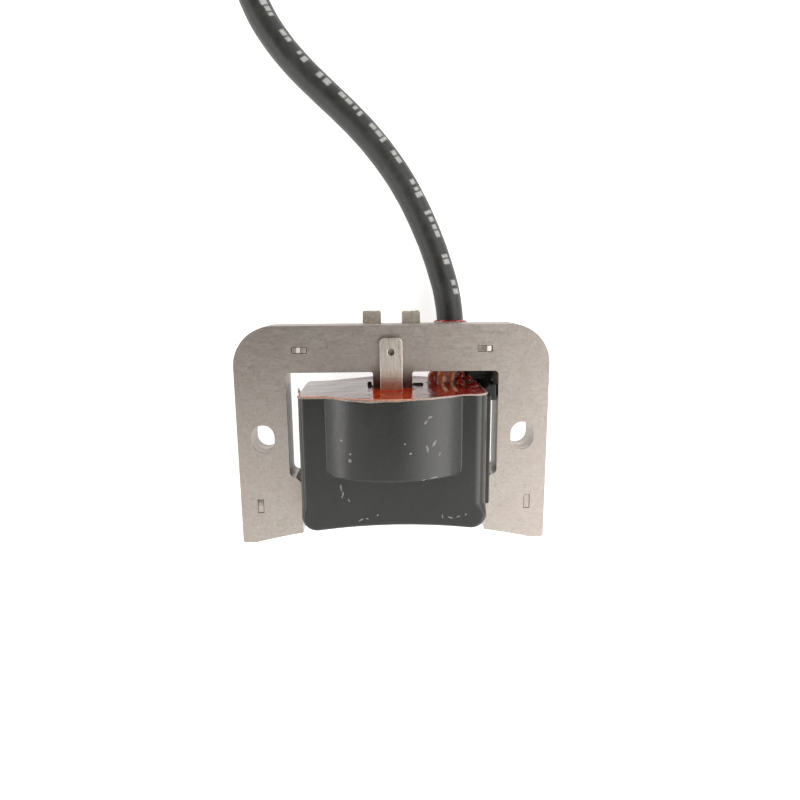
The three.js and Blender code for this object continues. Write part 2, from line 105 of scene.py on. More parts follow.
def mesh_piece(name, points, faces, smooth_degrees=None):
    """A mesh object from points in x, v and w. Edges sharper than smooth_degrees stay sharp."""
    mesh = bpy.data.meshes.new(name)
    mesh.from_pydata(row_points(points).tolist(), [], [list(f) for f in faces])
    mesh.validate()
    if smooth_degrees is not None:
        mesh.shade_smooth()
        mesh.set_sharp_from_angle(angle=math.radians(smooth_degrees))
    return add_object(name, mesh)


def set_attribute(obj, name, values):
    attribute = obj.data.attributes.new(name, "FLOAT", "POINT")
    attribute.data.foreach_set("value", np.asarray(values, np.float32))


def stand_for(obj, node):
    """The piece rides on the body and stands for its CAD node, which it hides."""
    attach(obj, "root")
    if node:
        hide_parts(node)
    return obj


def arc(cx, cy, radius, start, end, steps):
    angles = np.radians(np.linspace(start, end, steps + 1))
    return [(cx + radius * math.cos(a), cy + radius * math.sin(a)) for a in angles]


def rounded(profile, radius, steps=4, axis_points=False):
    """The closed profile with its corners rounded, except those on the axis if it has any."""
    made = []
    count = len(profile)
    for i in range(count):
        before, here, after = (np.array(profile[j % count], float) for j in (i - 1, i, i + 1))
        if axis_points and here[1] < 1e-6:
            made.append(here)
            continue
        back, on = before - here, after - here
        reach = min(radius, np.linalg.norm(back) * 0.45, np.linalg.norm(on) * 0.45)
        start = here + back / np.linalg.norm(back) * reach
        end = here + on / np.linalg.norm(on) * reach
        for t in np.linspace(0, 1, steps + 1):
            made.append((1 - t) ** 2 * start + 2 * t * (1 - t) * here + t * t * end)
    return made


def tidy_mesh(mesh, merge=None, least_edge=None):
    """The mesh with its normals outwards, its close points merged and its tiny edges dissolved."""
    shape = bmesh.new()
    shape.from_mesh(mesh)
    if merge is not None:
        bmesh.ops.remove_doubles(shape, verts=shape.verts, dist=merge)
    if least_edge is not None:
        bmesh.ops.dissolve_degenerate(shape, edges=shape.edges, dist=least_edge)
    bmesh.ops.recalc_face_normals(shape, faces=shape.faces)
    shape.to_mesh(mesh)
    shape.free()


def mesh_of_curve(name, curve):
    """The mesh of a curve, which is removed."""
    holder = add_object(name, curve)
    depsgraph = bpy.context.evaluated_depsgraph_get()
    mesh = bpy.data.meshes.new_from_object(holder.evaluated_get(depsgraph))
    bpy.data.objects.remove(holder)
    bpy.data.curves.remove(curve)
    return mesh


def plate_mesh(name, outlines, back, front, edge, steps=2):
    """A plate with softly rounded edges, from outlines in x and v. The first is the outer one."""
    curve = bpy.data.curves.new(name, "CURVE")
    curve.dimensions = "2D"
    curve.fill_mode = "BOTH"
    curve.extrude = (front - back) / 2 - edge
    curve.bevel_depth = edge
    curve.bevel_resolution = steps
    curve.offset = -edge
    for outline in outlines:
        spline = curve.splines.new("POLY")
        spline.points.add(len(outline) - 1)
        for point, (x, v) in zip(spline.points, outline):
            point.co = (x, v, 0, 1)
        spline.use_cyclic_u = True
    mesh = mesh_of_curve(name, curve)
    mesh.transform(Matrix.Translation((0, 0, (front + back) / 2)))
    tidy_mesh(mesh, 0.002, 0.0005)
    mesh.name = name
    return mesh


def prism_mesh(name, points, depth_axis, low, high):
    """A closed prism: an outline in two axes, drawn out along the third."""
    count = len(points)
    corners = []
    for level in (low, high):
        for a, b in points:
            corner = [a, b]
            corner.insert(depth_axis, level)
            corners.append(corner)
    faces = [list(range(count)), list(range(count, 2 * count))[::-1]]
    faces += [[i, i + count, (i + 1) % count + count, (i + 1) % count] for i in range(count)]
    mesh = bpy.data.meshes.new(name)
    mesh.from_pydata(corners, [], faces)
    tidy_mesh(mesh)
    return mesh


def cut(mesh, cutters):
    """The mesh less all of the cutters."""
    body = add_object("cut_body", mesh)
    tools = [add_object("cut_tool", cutter) for cutter in cutters]
    for tool in tools:
        modifier = body.modifiers.new("cut", "BOOLEAN")
        modifier.operation = "DIFFERENCE"
        modifier.solver = "EXACT"
        modifier.object = tool
    depsgraph = bpy.context.evaluated_depsgraph_get()
    made = bpy.data.meshes.new_from_object(body.evaluated_get(depsgraph))
    for obj in [body, *tools]:
        old = obj.data
        bpy.data.objects.remove(obj)
        bpy.data.meshes.remove(old)
    return made


def plate_piece(name, mesh, smooth_degrees=35):
    """The object of a mesh that is still in millimetres."""
    mesh.transform(Matrix.Diagonal((MM, MM, MM, 1)))
    mesh.transform(Matrix.Translation((0, STACK_TOP, STACK_MIDDLE)))
    mesh.shade_smooth()
    mesh.set_sharp_from_angle(angle=math.radians(smooth_degrees))
    for face in mesh.polygons:
        face.use_smooth = abs(face.normal.z) < 0.9999
    mesh.name = name
    return add_object(name, mesh)


# ---- shader helpers ------------------------------------------------------------------


class Nodes:
    """Short ways to add nodes to a node tree."""

    def __init__(self, tree):
        self.tree = tree
        tree.nodes.clear()

    def node(self, kind, **settings):
        made = self.tree.nodes.new(kind)
        for key, value in settings.items():
            setattr(made, key, value)
        return made

    def join(self, source, target):
        self.tree.links.new(source, target)

    def feed(self, socket, value):
        if isinstance(value, bpy.types.NodeSocket):
            self.join(value, socket)
        else:
            socket.default_value = value

    def ramp(self, value, low, high, out_low=0.0, out_high=1.0, smooth=False):
        made = self.node("ShaderNodeMapRange")
        made.interpolation_type = "SMOOTHSTEP" if smooth else "LINEAR"
        self.feed(made.inputs["Value"], value)
        for socket, number in zip(list(made.inputs)[1:5], (low, high, out_low, out_high)):
            socket.default_value = number
        return made.outputs[0]

    def math(self, operation, first, second=0.0, third=0.0, clamp=False):
        made = self.node("ShaderNodeMath", operation=operation, use_clamp=clamp)
        for socket, value in zip(made.inputs, (first, second, third)):
            self.feed(socket, value)
        return made.outputs[0]


class Shader(Nodes):
    """A node material. Its coordinates are millimetres in the object's own frame."""

    def __init__(self, name, roughness=0.5, metallic=0.0, **uniform):
        self.material = bpy.data.materials.new(name)
        self.material.use_nodes = True
        super().__init__(self.material.node_tree)
        output = self.node("ShaderNodeOutputMaterial")
        self.surface = self.node("ShaderNodeBsdfPrincipled")
        self.surface.inputs["Roughness"].default_value = roughness
        self.surface.inputs["Metallic"].default_value = metallic
        for key, value in uniform.items():
            self.surface.inputs[key.replace("_", " ")].default_value = value
        self.join(self.surface.outputs[0], output.inputs["Surface"])
        coordinates = self.node("ShaderNodeTexCoord").outputs["Object"]
        self.place = self.mapping(coordinates, scale=(1 / MM, 1 / MM, 1 / MM))

    def mapping(self, vector, location=(0, 0, 0), rotation=(0, 0, 0), scale=(1, 1, 1), kind="POINT"):
        made = self.node("ShaderNodeMapping", vector_type=kind)
        self.join(vector, made.inputs["Vector"])
        made.inputs["Location"].default_value = location
        made.inputs["Rotation"].default_value = rotation
        made.inputs["Scale"].default_value = scale
        return made.outputs[0]

    def noise(
        self, per_mm, detail=3.0, rough=0.55, stretch=(1, 1, 1), distortion=0.0, shift=(0, 0, 0)
    ):
        """Noise with a feature about every 1 / per_mm millimetres."""
        made = self.node("ShaderNodeTexNoise")
        self.join(self.mapping(self.place, shift, scale=stretch), made.inputs["Vector"])
        made.inputs["Scale"].default_value = per_mm
        made.inputs["Detail"].default_value = detail
        made.inputs["Roughness"].default_value = rough
        made.inputs["Distortion"].default_value = distortion
        return made.outputs[0]

    def mix(self, factor, first, second):
        """A mix of two colours."""
        made = self.node("ShaderNodeMix", data_type="RGBA")
        self.feed(made.inputs[0], factor)
        for socket, value in ((made.inputs[6], first), (made.inputs[7], second)):
            self.feed(socket, value if isinstance(value, bpy.types.NodeSocket) else (*value, 1))
        return made.outputs[2]

    def part_of_place(self, axis):
        made = self.node("ShaderNodeSeparateXYZ")
        self.join(self.place, made.inputs[0])
        return made.outputs[axis]

    def attribute(self, name):
        return self.node("ShaderNodeAttribute", attribute_name=name).outputs["Fac"]

    def stroke(self, x, v, length, width, degrees):
        """1 in the middle of a short stroke on the front, falling to 0 at its edge."""
        centre = row_point(x, v, 0) / MM
        vector = self.mapping(
            self.place,
            location=(centre.x, centre.y, 0),
            rotation=(0, 0, math.radians(degrees)),
            scale=(length / 2, width / 2, 1000),
            kind="TEXTURE",
        )
        made = self.node("ShaderNodeTexGradient", gradient_type="SPHERICAL")
        self.join(vector, made.inputs[0])
        return made.outputs["Fac"]

    def colour(self, value):
        self.feed(self.surface.inputs["Base Color"], value)

    def roughness(self, value):
        self.feed(self.surface.inputs["Roughness"], value)

    def bump(self, height, millimetres):
        """Small relief of that height, chained on what is there already."""
        made = self.node("ShaderNodeBump")
        made.inputs["Strength"].default_value = 1.0
        made.inputs["Distance"].default_value = millimetres * MM
        self.join(height, made.inputs["Height"])
        normal = self.surface.inputs["Normal"]
        if normal.links:
            self.join(normal.links[0].from_socket, made.inputs["Normal"])
        self.join(made.outputs[0], normal)


# ---- materials -----------------------------------------------------------------------


def rolled_steel(name, seed=0.0, front=None):
    """Silicon steel sheet: fine mottling, faint rolling marks along x and a few stains. On the front
    sheet, painted shade darkens the sheared gaps, and painted shade and a dark red reflection of the epoxy
    darken the lower centre leg."""
    s = Shader(name, metallic=1.0)
    streaks = s.noise(1.3, 5, 0.6, stretch=(0.35, 1.4, 1), distortion=0.3, shift=(seed, 0, 0))
    mottle = s.noise(1.3, 5, 0.6, distortion=0.8, shift=(seed, 6, 0))
    grain = s.noise(7.0, 3, 0.6, shift=(seed, 4, 0))
    clouds = s.noise(0.09, 3, 0.55, distortion=0.8, shift=(seed, 9, 0))
    stains = s.noise(0.16, 4, 0.6, distortion=1.1, shift=(seed, 21, 5))
    base = s.mix(s.ramp(mottle, 0.32, 0.68), (0.366, 0.324, 0.284), (0.498, 0.460, 0.421))
    base = s.mix(s.ramp(streaks, 0.38, 0.66, 0, 0.55), base, (0.51, 0.475, 0.437))
    base = s.mix(s.ramp(clouds, 0.35, 0.7, 0, 0.45), base, (0.45, 0.377, 0.343))
    base = s.mix(s.ramp(stains, 0.55, 0.75, 0, 0.3), base, (0.36, 0.30, 0.24))
    if front is not None:
        depth = s.part_of_place(2)
        # Painted shade: everything more than about 0.45 mm below the front face, the floors of the sheared
        # gaps among it, is darkened.
        gap = s.ramp(depth, front - 0.43, front - 0.48, 0, 0.95)
        base = s.mix(gap, base, (0.03, 0.025, 0.02))
        # Painted shade and a painted dark red reflection of the epoxy on the centre leg, patchy and
        # strongest towards the epoxy.
        across = s.math("ABSOLUTE", s.part_of_place(0))
        on_leg = s.ramp(across, LEG_HALF + 0.9, LEG_HALF - 0.2, 0, 1)
        top = row_point(0, -11, 0).y / MM
        leg_shade_and_reflection = s.ramp(s.part_of_place(1), top, top - 6, 0, 0.97)
        patchy = s.ramp(s.noise(0.7, 4, 0.6, distortion=0.8), 0.25, 0.7, 0.75, 1)
        leg_shade_and_reflection = s.math("MULTIPLY", s.math("MULTIPLY", leg_shade_and_reflection, on_leg), patchy)
        base = s.mix(leg_shade_and_reflection, base, (0.070, 0.020, 0.010))
    s.colour(base)
    rough = s.ramp(streaks, 0.3, 0.7, 0.32, 0.41)
    s.roughness(s.math("ADD", rough, s.ramp(grain, 0.3, 0.7, -0.03, 0.04)))
    s.bump(mottle, 0.018)
    s.bump(grain, 0.005)
    return s.material


def bright_tin(name):
    """Tin plate with fine scratches along the blade, turning orange towards its root, where it is partly
    stained by epoxy and partly painted with a reflection of the epoxy, and with a painted shade line across
    it.
    """
    s = Shader(name, metallic=1.0)
    scratches = s.noise(2.2, 5, 0.65, stretch=(2.4, 0.12, 1), distortion=0.2)
    mottle = s.noise(0.8, 4, 0.6)
    base = s.mix(s.ramp(scratches, 0.32, 0.66), (0.74, 0.66, 0.57), (0.90, 0.83, 0.74))
    base = s.mix(s.ramp(mottle, 0.5, 0.75, 0, 0.4), base, (0.62, 0.55, 0.47))
    height = s.part_of_place(1)
    root = row_point(0, -18.6, 0).y / MM
    # Towards the root the tin turns orange: partly stained by epoxy, and partly a painted reflection of the
    # orange epoxy.
    stain_and_reflection = s.ramp(height, root, root + 7.5, 1, 0, smooth=True)
    patchy = s.math("MULTIPLY", stain_and_reflection, s.ramp(mottle, 0.2, 0.8, 0.45, 1.0), clamp=True)
    base = s.mix(patchy, base, (0.66, 0.39, 0.25))
    # Painted shade: a thin dark line across the blade, standing for the shade of a slight bend.
    shade_line = s.math("ABSOLUTE", s.math("SUBTRACT", height, root + 3.6))
    base = s.mix(s.ramp(shade_line, 0.0, 0.18, 0.45, 0), base, (0.30, 0.22, 0.18))
    s.colour(base)
    s.roughness(s.ramp(scratches, 0.3, 0.7, 0.24, 0.38))
    s.bump(scratches, 0.01)
    return s.material


def strip_steel(name):
    """Dull plated strip, beige grey, with blotches."""
    s = Shader(name, metallic=1.0)
    blotches = s.noise(1.1, 5, 0.65, distortion=0.8)
    grain = s.noise(9.0, 2, 0.5)
    base = s.mix(s.ramp(blotches, 0.35, 0.7), (0.62, 0.56, 0.47), (0.84, 0.79, 0.68))
    s.colour(base)
    s.roughness(s.ramp(blotches, 0.3, 0.75, 0.36, 0.55))
    s.bump(blotches, 0.02)
    s.bump(grain, 0.006)
    return s.material


def case_plastic(name, scuffs):
    """Dark moulded plastic with a satin skin, faint drag lines along v, white scuffs, and painted
    highlights along the lower edge of the bulge.
    """
    s = Shader(name, roughness=0.25)
    flow = s.noise(0.12, 4, 0.6, stretch=(1, 0.5, 1), distortion=0.9)
    mottle = s.noise(0.9, 5, 0.6)
    drag = s.noise(1.6, 4, 0.6, stretch=(1, 0.03, 1))
    skin = s.noise(5.0, 3, 0.6)
    base = s.mix(s.ramp(flow, 0.32, 0.7), (0.0135, 0.0145, 0.0125), (0.019, 0.0195, 0.017))
    base = s.mix(s.ramp(mottle, 0.5, 0.75, 0, 0.5), base, (0.024, 0.024, 0.021))
    marks = s.ramp(s.noise(1.6, 6, 0.75, distortion=2.0), 0.71, 0.80)
    # The strokes are white scuffs, and two painted highlights along the bulge's lower edge.
    for scuff in scuffs:
        marks = s.math("MAXIMUM", marks, s.ramp(s.stroke(*scuff), 0.0, 0.45))
    broken = s.math("MULTIPLY", marks, s.ramp(s.noise(1.7, 5, 0.75, distortion=1.5), 0.40, 0.56, 0.05, 1))
    facing = s.node("ShaderNodeNewGeometry").outputs["Normal"]
    apart = s.node("ShaderNodeSeparateXYZ")
    s.join(facing, apart.inputs[0])
    broken = s.math("MULTIPLY", broken, s.ramp(apart.outputs[2], 0.2, 0.6))
    s.colour(s.mix(s.math("MULTIPLY", broken, 0.8), base, (0.40, 0.40, 0.38)))
    rough = s.ramp(mottle, 0.3, 0.7, 0.19, 0.27)
    s.roughness(s.math("ADD", rough, s.math("MULTIPLY", broken, 0.3)))
    s.bump(flow, 0.05)
    s.bump(drag, 0.012)
    s.bump(mottle, 0.012)
    s.bump(skin, 0.002)
    return s.material


def cast_epoxy(name):
    """Glossy epoxy: deep red, orange where the layer is deep, and dark as a film over black plastic.
    Painted light: orange and pale streaks in the flat epoxy under the runs as their reflection, pale
    reflection streaks in the grooves between the runs, whitish glints on the dark film, a highlight along
    the rim's edge that turns pale on the right, and black shade on two bumps beside the leg.
    """
    s = Shader(name, roughness=0.05, IOR=1.62)
    swirl = s.noise(0.35, 4, 0.55, distortion=1.2)
    specks = s.noise(3.0, 3, 0.6)
    body = s.mix(s.ramp(swirl, 0.35, 0.7), (0.075, 0.022, 0.017), (0.14, 0.055, 0.042))
    right = s.ramp(s.part_of_place(0), 11, 13)
    body = s.mix(right, body, (0.26, 0.014, 0.008))
    glow = s.mix(s.ramp(swirl, 0.38, 0.62), (0.36, 0.020, 0.005), (0.50, 0.060, 0.008))
    # Orange where the layer is deep, and as a painted reflection of the orange runs in the flat epoxy below
    # them.
    body = s.mix(s.attribute("thick_and_mirrored"), body, glow)
    across = s.part_of_place(0)
    first, last = RUNS[1][0], RUNS[2][0]
    place = s.math("MULTIPLY", s.math("SUBTRACT", across, first), 2 * math.pi / RUN_PITCH)
    crest = s.ramp(s.math("COSINE", place), -0.2, 0.9, smooth=True)
    onset = s.ramp(across, first - 1.6, first - 1.0)
    runs = s.math("MULTIPLY", onset, s.ramp(across, last + 1.5, last + 1))
    raised = s.math("MULTIPLY", s.attribute("raised"), runs)
    body = s.mix(s.math("MULTIPLY", raised, crest), body, (0.85, 0.22, 0.030))
    # Painted reflection: pale streaks in the grooves between the runs.
    groove_reflection = s.math("MULTIPLY", s.math("SUBTRACT", 1.0, crest), raised)
    body = s.mix(s.math("MULTIPLY", groove_reflection, 0.5), body, (0.85, 0.50, 0.42))
    # Painted reflection: pale streaks on the flat epoxy just below the runs, their mirror image.
    low = s.math("MULTIPLY", s.math("SUBTRACT", 1.0, s.attribute("raised")), runs)
    middle = STACK_MIDDLE / MM
    near = s.math("MULTIPLY", low, s.ramp(s.part_of_place(2), middle + 10, middle + 6))
    mirrored_streak = s.ramp(s.math("COSINE", place), 0.1, 0.8, smooth=True)
    body = s.mix(s.math("MULTIPLY", s.math("MULTIPLY", near, mirrored_streak), 0.85), body, (0.80, 0.58, 0.42))
    dark = s.mix(s.ramp(swirl, 0.36, 0.54), (0.030, 0.003, 0.003), (0.40, 0.014, 0.006))
    body = s.mix(s.attribute("over_plastic"), body, dark)
    # Painted glints: whitish specks on the dark film over black plastic.
    glint_spots = s.ramp(s.noise(1.0, 2, 0.5, distortion=0.5, shift=(7, 2, 0)), 0.63, 0.70)
    glints = s.math("MULTIPLY", glint_spots, s.attribute("over_plastic"))
    body = s.mix(glints, body, (0.75, 0.68, 0.55))
    # The rim's edge: a lighter orange, partly the thin edge of the epoxy and partly a painted highlight
    # along it; towards the right it turns into a pale painted highlight.
    rim = s.mix(s.ramp(swirl, 0.3, 0.7), (0.58, 0.22, 0.12), (0.66, 0.36, 0.24))
    rim = s.mix(s.attribute("pale"), rim, (0.60, 0.50, 0.45))
    body = s.mix(s.attribute("rim_edge"), body, rim)
    streaked = s.ramp(s.noise(1.1, 4, 0.7, distortion=1.0), 0.3, 0.55, 0.25, 1)
    lip = s.mix(streaked, (0.075, 0.055, 0.04), (0.30, 0.235, 0.19))
    body = s.mix(s.attribute("film"), body, lip)
    # Painted shade: the two bumps beside the leg are painted black for the dark notches there.
    body = s.mix(s.attribute("black"), body, (0.010, 0.008, 0.007))
    s.colour(body)
    s.roughness(s.ramp(specks, 0.4, 0.8, 0.03, 0.12))
    s.bump(swirl, 0.15)
    s.bump(specks, 0.006)
    return s.material


def lead_rubber(name):
    """Black jacket with a satin bloom, and a broken row of rubbed pale blocks along it."""
    s = Shader(name, roughness=0.5)
    bloom = s.noise(0.35, 5, 0.6, distortion=0.6)
    grain = s.noise(6.0, 3, 0.6)
    base = s.mix(s.ramp(bloom, 0.35, 0.7), (0.020, 0.021, 0.0205), (0.034, 0.035, 0.033))
    along = s.attribute("along")
    around = s.attribute("around")
    dash = s.attribute("dash")
    worn = s.ramp(s.noise(1.8, 5, 0.75), 0.38, 0.56, 0.6, 1)
    printed = s.math("MULTIPLY", dash, worn)
    s.colour(s.mix(s.math("MULTIPLY", printed, 0.8), base, (0.55, 0.55, 0.53)))
    s.roughness(s.ramp(bloom, 0.3, 0.7, 0.36, 0.50))
    ribs = s.math("SINE", s.math("MULTIPLY", along, 4.2))
    seam = s.math("MULTIPLY", ribs, s.math("SINE", s.math("MULTIPLY", around, 6.2832)))
    s.bump(seam, 0.01)
    s.bump(bloom, 0.03)
    s.bump(grain, 0.006)
    return s.material


def moulded_rubber(name):
    """Matt black rubber with a fine grain and pale dust."""
    s = Shader(name, roughness=0.62)
    dust = s.noise(0.5, 5, 0.65, distortion=0.8)
    grain = s.noise(5.0, 3, 0.6)
    s.colour(s.mix(s.ramp(dust, 0.4, 0.75), (0.024, 0.024, 0.024), (0.058, 0.057, 0.054)))
    s.roughness(s.ramp(dust, 0.3, 0.7, 0.5, 0.7))
    s.bump(grain, 0.02)
    return s.material


def spring_steel(name):
    s = Shader(name, metallic=1.0)
    drawn = s.noise(1.5, 4, 0.6, stretch=(0.3, 1.6, 1.6))
    s.colour(s.mix(s.ramp(drawn, 0.35, 0.7), (0.48, 0.47, 0.45), (0.68, 0.67, 0.65)))
    s.roughness(s.ramp(drawn, 0.3, 0.7, 0.22, 0.38))
    s.bump(drawn, 0.01)
    return s.material


def plain_moulding(name, dark, light, roughness=0.5, per_mm=1.5):
    """A moulded or lacquered body with mottling and a fine skin."""
    s = Shader(name, roughness=roughness)
    mottle = s.noise(per_mm, 4, 0.6)
    skin = s.noise(8 * per_mm, 2, 0.5)
    s.colour(s.mix(s.ramp(mottle, 0.35, 0.7), dark, light))
    s.roughness(s.ramp(mottle, 0.3, 0.7, roughness - 0.08, roughness + 0.08))
    s.bump(skin, 0.01)
    return s.material


def wound_wire(name, dark, light, pitch):
    """Enamelled wire: turns side by side along v, each painted darker on one side and lighter on the other
    as its shade and highlight, with a gloss that varies from turn to turn.
    """
    s = Shader(name, metallic=0.7)
    turns = s.math("SINE", s.math("MULTIPLY", s.part_of_place(1), 2 * math.pi / pitch))
    variety = s.noise(1 / pitch, 2, 0.5, stretch=(0.05, 1, 0.05))
    # Painted shade and highlight across each turn, plus a tone that differs at random from turn to turn.
    shade_and_tone = s.math("ADD", s.ramp(turns, -1, 1, 0, 0.6), s.ramp(variety, 0.3, 0.7, 0, 0.4))
    s.colour(s.mix(shade_and_tone, dark, light))
    s.roughness(s.ramp(variety, 0.3, 0.7, 0.3, 0.45))
    s.bump(turns, pitch / 4)
    return s.material


def circuit_board(name):
    """Green solder mask over faint tracks."""
    s = Shader(name, roughness=0.4)
    weave = s.noise(2.5, 2, 0.5, stretch=(1, 1, 1))
    tracks = s.node("ShaderNodeTexVoronoi", feature="DISTANCE_TO_EDGE")
    s.join(s.place, tracks.inputs["Vector"])
    tracks.inputs["Scale"].default_value = 0.5
    line = s.ramp(tracks.outputs["Distance"], 0.05, 0.09, 1, 0)
    base = s.mix(s.ramp(weave, 0.35, 0.7), (0.02, 0.12, 0.045), (0.035, 0.17, 0.07))
    s.colour(s.mix(line, base, (0.08, 0.28, 0.12)))
    s.roughness(s.ramp(weave, 0.3, 0.7, 0.32, 0.48))
    s.bump(line, 0.03)
    return s.material


def banded_body(name, dark, light, band):
    """An axial component with a painted band near one end."""
    s = Shader(name, roughness=0.4)
    mottle = s.noise(2.0, 3, 0.6)
    base = s.mix(s.ramp(mottle, 0.35, 0.7), dark, light)
    place = s.part_of_place(1)
    middle = row_point(0, -40.4, 0).y / MM
    away = s.math("ABSOLUTE", s.math("SUBTRACT", place, middle))
    s.colour(s.mix(s.ramp(away, 0.35, 0.45, 1, 0), base, band))
    s.roughness(s.ramp(mottle, 0.3, 0.7, 0.34, 0.46))
    s.bump(mottle, 0.01)
    return s.material


# ---- spark lead ----------------------------------------------------------------------

LEAD_DIAMETER = 0.0082
LEAD_LENGTH = 0.280
LYING = -0.0154145

# The route in metres in x, v and w: up through the tower, down to the surface, round to the boot.
ROUTE = [
    (0.0185, -0.0222, -0.0116),
    (0.0185, -0.0150, -0.0116),
    (0.0185, -0.0085, -0.0116),
    (0.0184, -0.0025, -0.0116),
    (0.0180, 0.0034, -0.0120),
    (0.01705, 0.0094, -0.0127),
    (0.0154, 0.0156, -0.0137),
    (0.0133, 0.0220, -0.01465),
    (0.0106, 0.0286, -0.01525),
    (0.0072, 0.0357, LYING),
    (0.0031, 0.0427, LYING),
    (-0.0018, 0.0495, LYING),
    (-0.0074, 0.0560, LYING),
    (-0.0134, 0.0619, LYING),
    (-0.0198, 0.0677, LYING),
    (-0.0260, 0.0736, LYING),
    (-0.0315, 0.0799, LYING),
    (-0.0361, 0.0869, LYING),
    (-0.0393, 0.0947, LYING),
    (-0.0407, 0.1029, LYING),
    (-0.0404, 0.1113, LYING),
    (-0.0383, 0.1194, LYING),
    (-0.0346, 0.1269, LYING),
    (-0.0294, 0.1335, LYING),
    (-0.0229, 0.1388, LYING),
    (-0.0155, 0.1426, LYING),
    (-0.0074, 0.1448, LYING),
    (0.0010, 0.1457, LYING),
    (0.0130, 0.1458, LYING),
    (0.0250, 0.1458, LYING + 0.0004),
    (0.0350, 0.1458, LYING + 0.0014),
    (0.0450, 0.1458, LYING + 0.0027),
    (0.0550, 0.1458, LYING + 0.0037),
    (0.0620, 0.1458, LYING + 0.0040),
    (0.0690, 0.1458, LYING + 0.0040),
]


def smooth_route(points, spacing):
    """Points a spacing apart on one centripetal Catmull-Rom curve through the given ones."""
    given = np.asarray(points, float)
    ends = [2 * given[0] - given[1], *given, 2 * given[-1] - given[-2]]
    dense = []
    for a, b, c, d in zip(ends, ends[1:], ends[2:], ends[3:]):
        knots = np.cumsum([0, *(np.linalg.norm(q - p) ** 0.5 for p, q in ((a, b), (b, c), (c, d)))])
        for t in np.linspace(knots[1], knots[2], 24, endpoint=False):
            ab, bc, cd = (
                p + (q - p) * (t - knots[i]) / (knots[i + 1] - knots[i])
                for i, (p, q) in enumerate(((a, b), (b, c), (c, d)))
            )
            abc = ab + (bc - ab) * (t - knots[0]) / (knots[2] - knots[0])
            bcd = bc + (cd - bc) * (t - knots[1]) / (knots[3] - knots[1])
            dense.append(abc + (bcd - abc) * (t - knots[1]) / (knots[2] - knots[1]))
    dense = np.array([*dense, given[-1]])
    travelled = np.concatenate([[0], np.cumsum(np.linalg.norm(np.diff(dense, axis=0), axis=1))])
    stops = np.linspace(0, travelled[-1], int(travelled[-1] / spacing) + 1)
    return np.stack([np.interp(stops, travelled, dense[:, i]) for i in range(3)], axis=1)


def tube(centres, radii, sides):
    """Rings about a line of centres that don't twist: points, faces, and each ring's directions."""
    tangents = np.gradient(centres, axis=0)
    tangents /= np.linalg.norm(tangents, axis=1)[:, None]
    across = np.cross(tangents, (0, 0, 1))
    across /= np.linalg.norm(across, axis=1)[:, None]
    upward = np.cross(across, tangents)
    angles = np.linspace(0, 2 * np.pi, sides, endpoint=False)
    wheel = across[:, None] * np.cos(angles)[None, :, None]
    wheel = wheel + upward[:, None] * np.sin(angles)[None, :, None]
    points = (centres[:, None] + wheel * radii[:, :, None]).reshape(-1, 3)
    faces = []
    for ring, side in itertools.product(range(len(centres) - 1), range(sides)):
        a = ring * sides + side
        b = ring * sides + (side + 1) % sides
        faces.append((a, b, b + sides, a + sides))
    faces.append(tuple(range(sides))[::-1])
    last = (len(centres) - 1) * sides
    faces.append(tuple(range(last, last + sides)))
    return points, faces, angles


PRINT_START = 30  # millimetres along the lead
PRINT_END = 130
PRINT_SIDE = 0.93  # radians round the lead


def print_dashes(along, around):
    """A row of plain rubbed blocks on the upper side of the lead, in groups with gaps."""
    random = np.random.default_rng(11)
    marks = np.zeros_like(along)
    place = PRINT_START
    while place < PRINT_END:
        for _ in range(int(random.integers(2, 5))):
            size = random.uniform(1.0, 2.0)
            within = (along > place) & (along < place + size)
            height = random.uniform(0.18, 0.3)
            near = np.abs(around - PRINT_SIDE - random.uniform(-0.04, 0.04)) < height
            marks = np.maximum(marks, (within & near).astype(float))
            place += size + random.uniform(0.5, 0.9)
        place += random.uniform(2.5, 5.0)
    return marks


def make_lead():
    centres = smooth_route(ROUTE, 0.0005) / MM
    sides = 48
    along = np.linspace(0, LEAD_LENGTH / MM, len(centres))
    angles = np.linspace(0, 2 * np.pi, sides, endpoint=False)
    wave = np.sin(along * 0.9)[:, None] * np.cos(angles * 2 + 0.7)[None, :]
    radii = LEAD_DIAMETER / MM / 2 - 0.03 + 0.02 * wave
    points, faces, angles = tube(centres, radii, sides)
    lead = mesh_piece("spark_lead_jacket", points, faces, 60)
    along_all = np.repeat(along, sides)
    around_all = np.tile(angles, len(centres))
    set_attribute(lead, "along", along_all)
    set_attribute(lead, "around", around_all)
    set_attribute(lead, "dash", print_dashes(along_all, around_all))
    lead.data.materials.append(lead_rubber("lead_jacket"))
    return stand_for(lead, "spark_lead"), row_points(centres[::8])


lead_piece, lead_path = make_lead()


# ---- boot and plug terminal ----------------------------------------------------------

BOOT_START = np.array(ROUTE[-1]) / MM
BOOT_LENGTH = 46
BORE = 5.6
BORE_FLOOR = 16
COLLAR_RADIUS = 8.1
WAIST_RADIUS = 7.5
NECK_RADIUS = 6.6


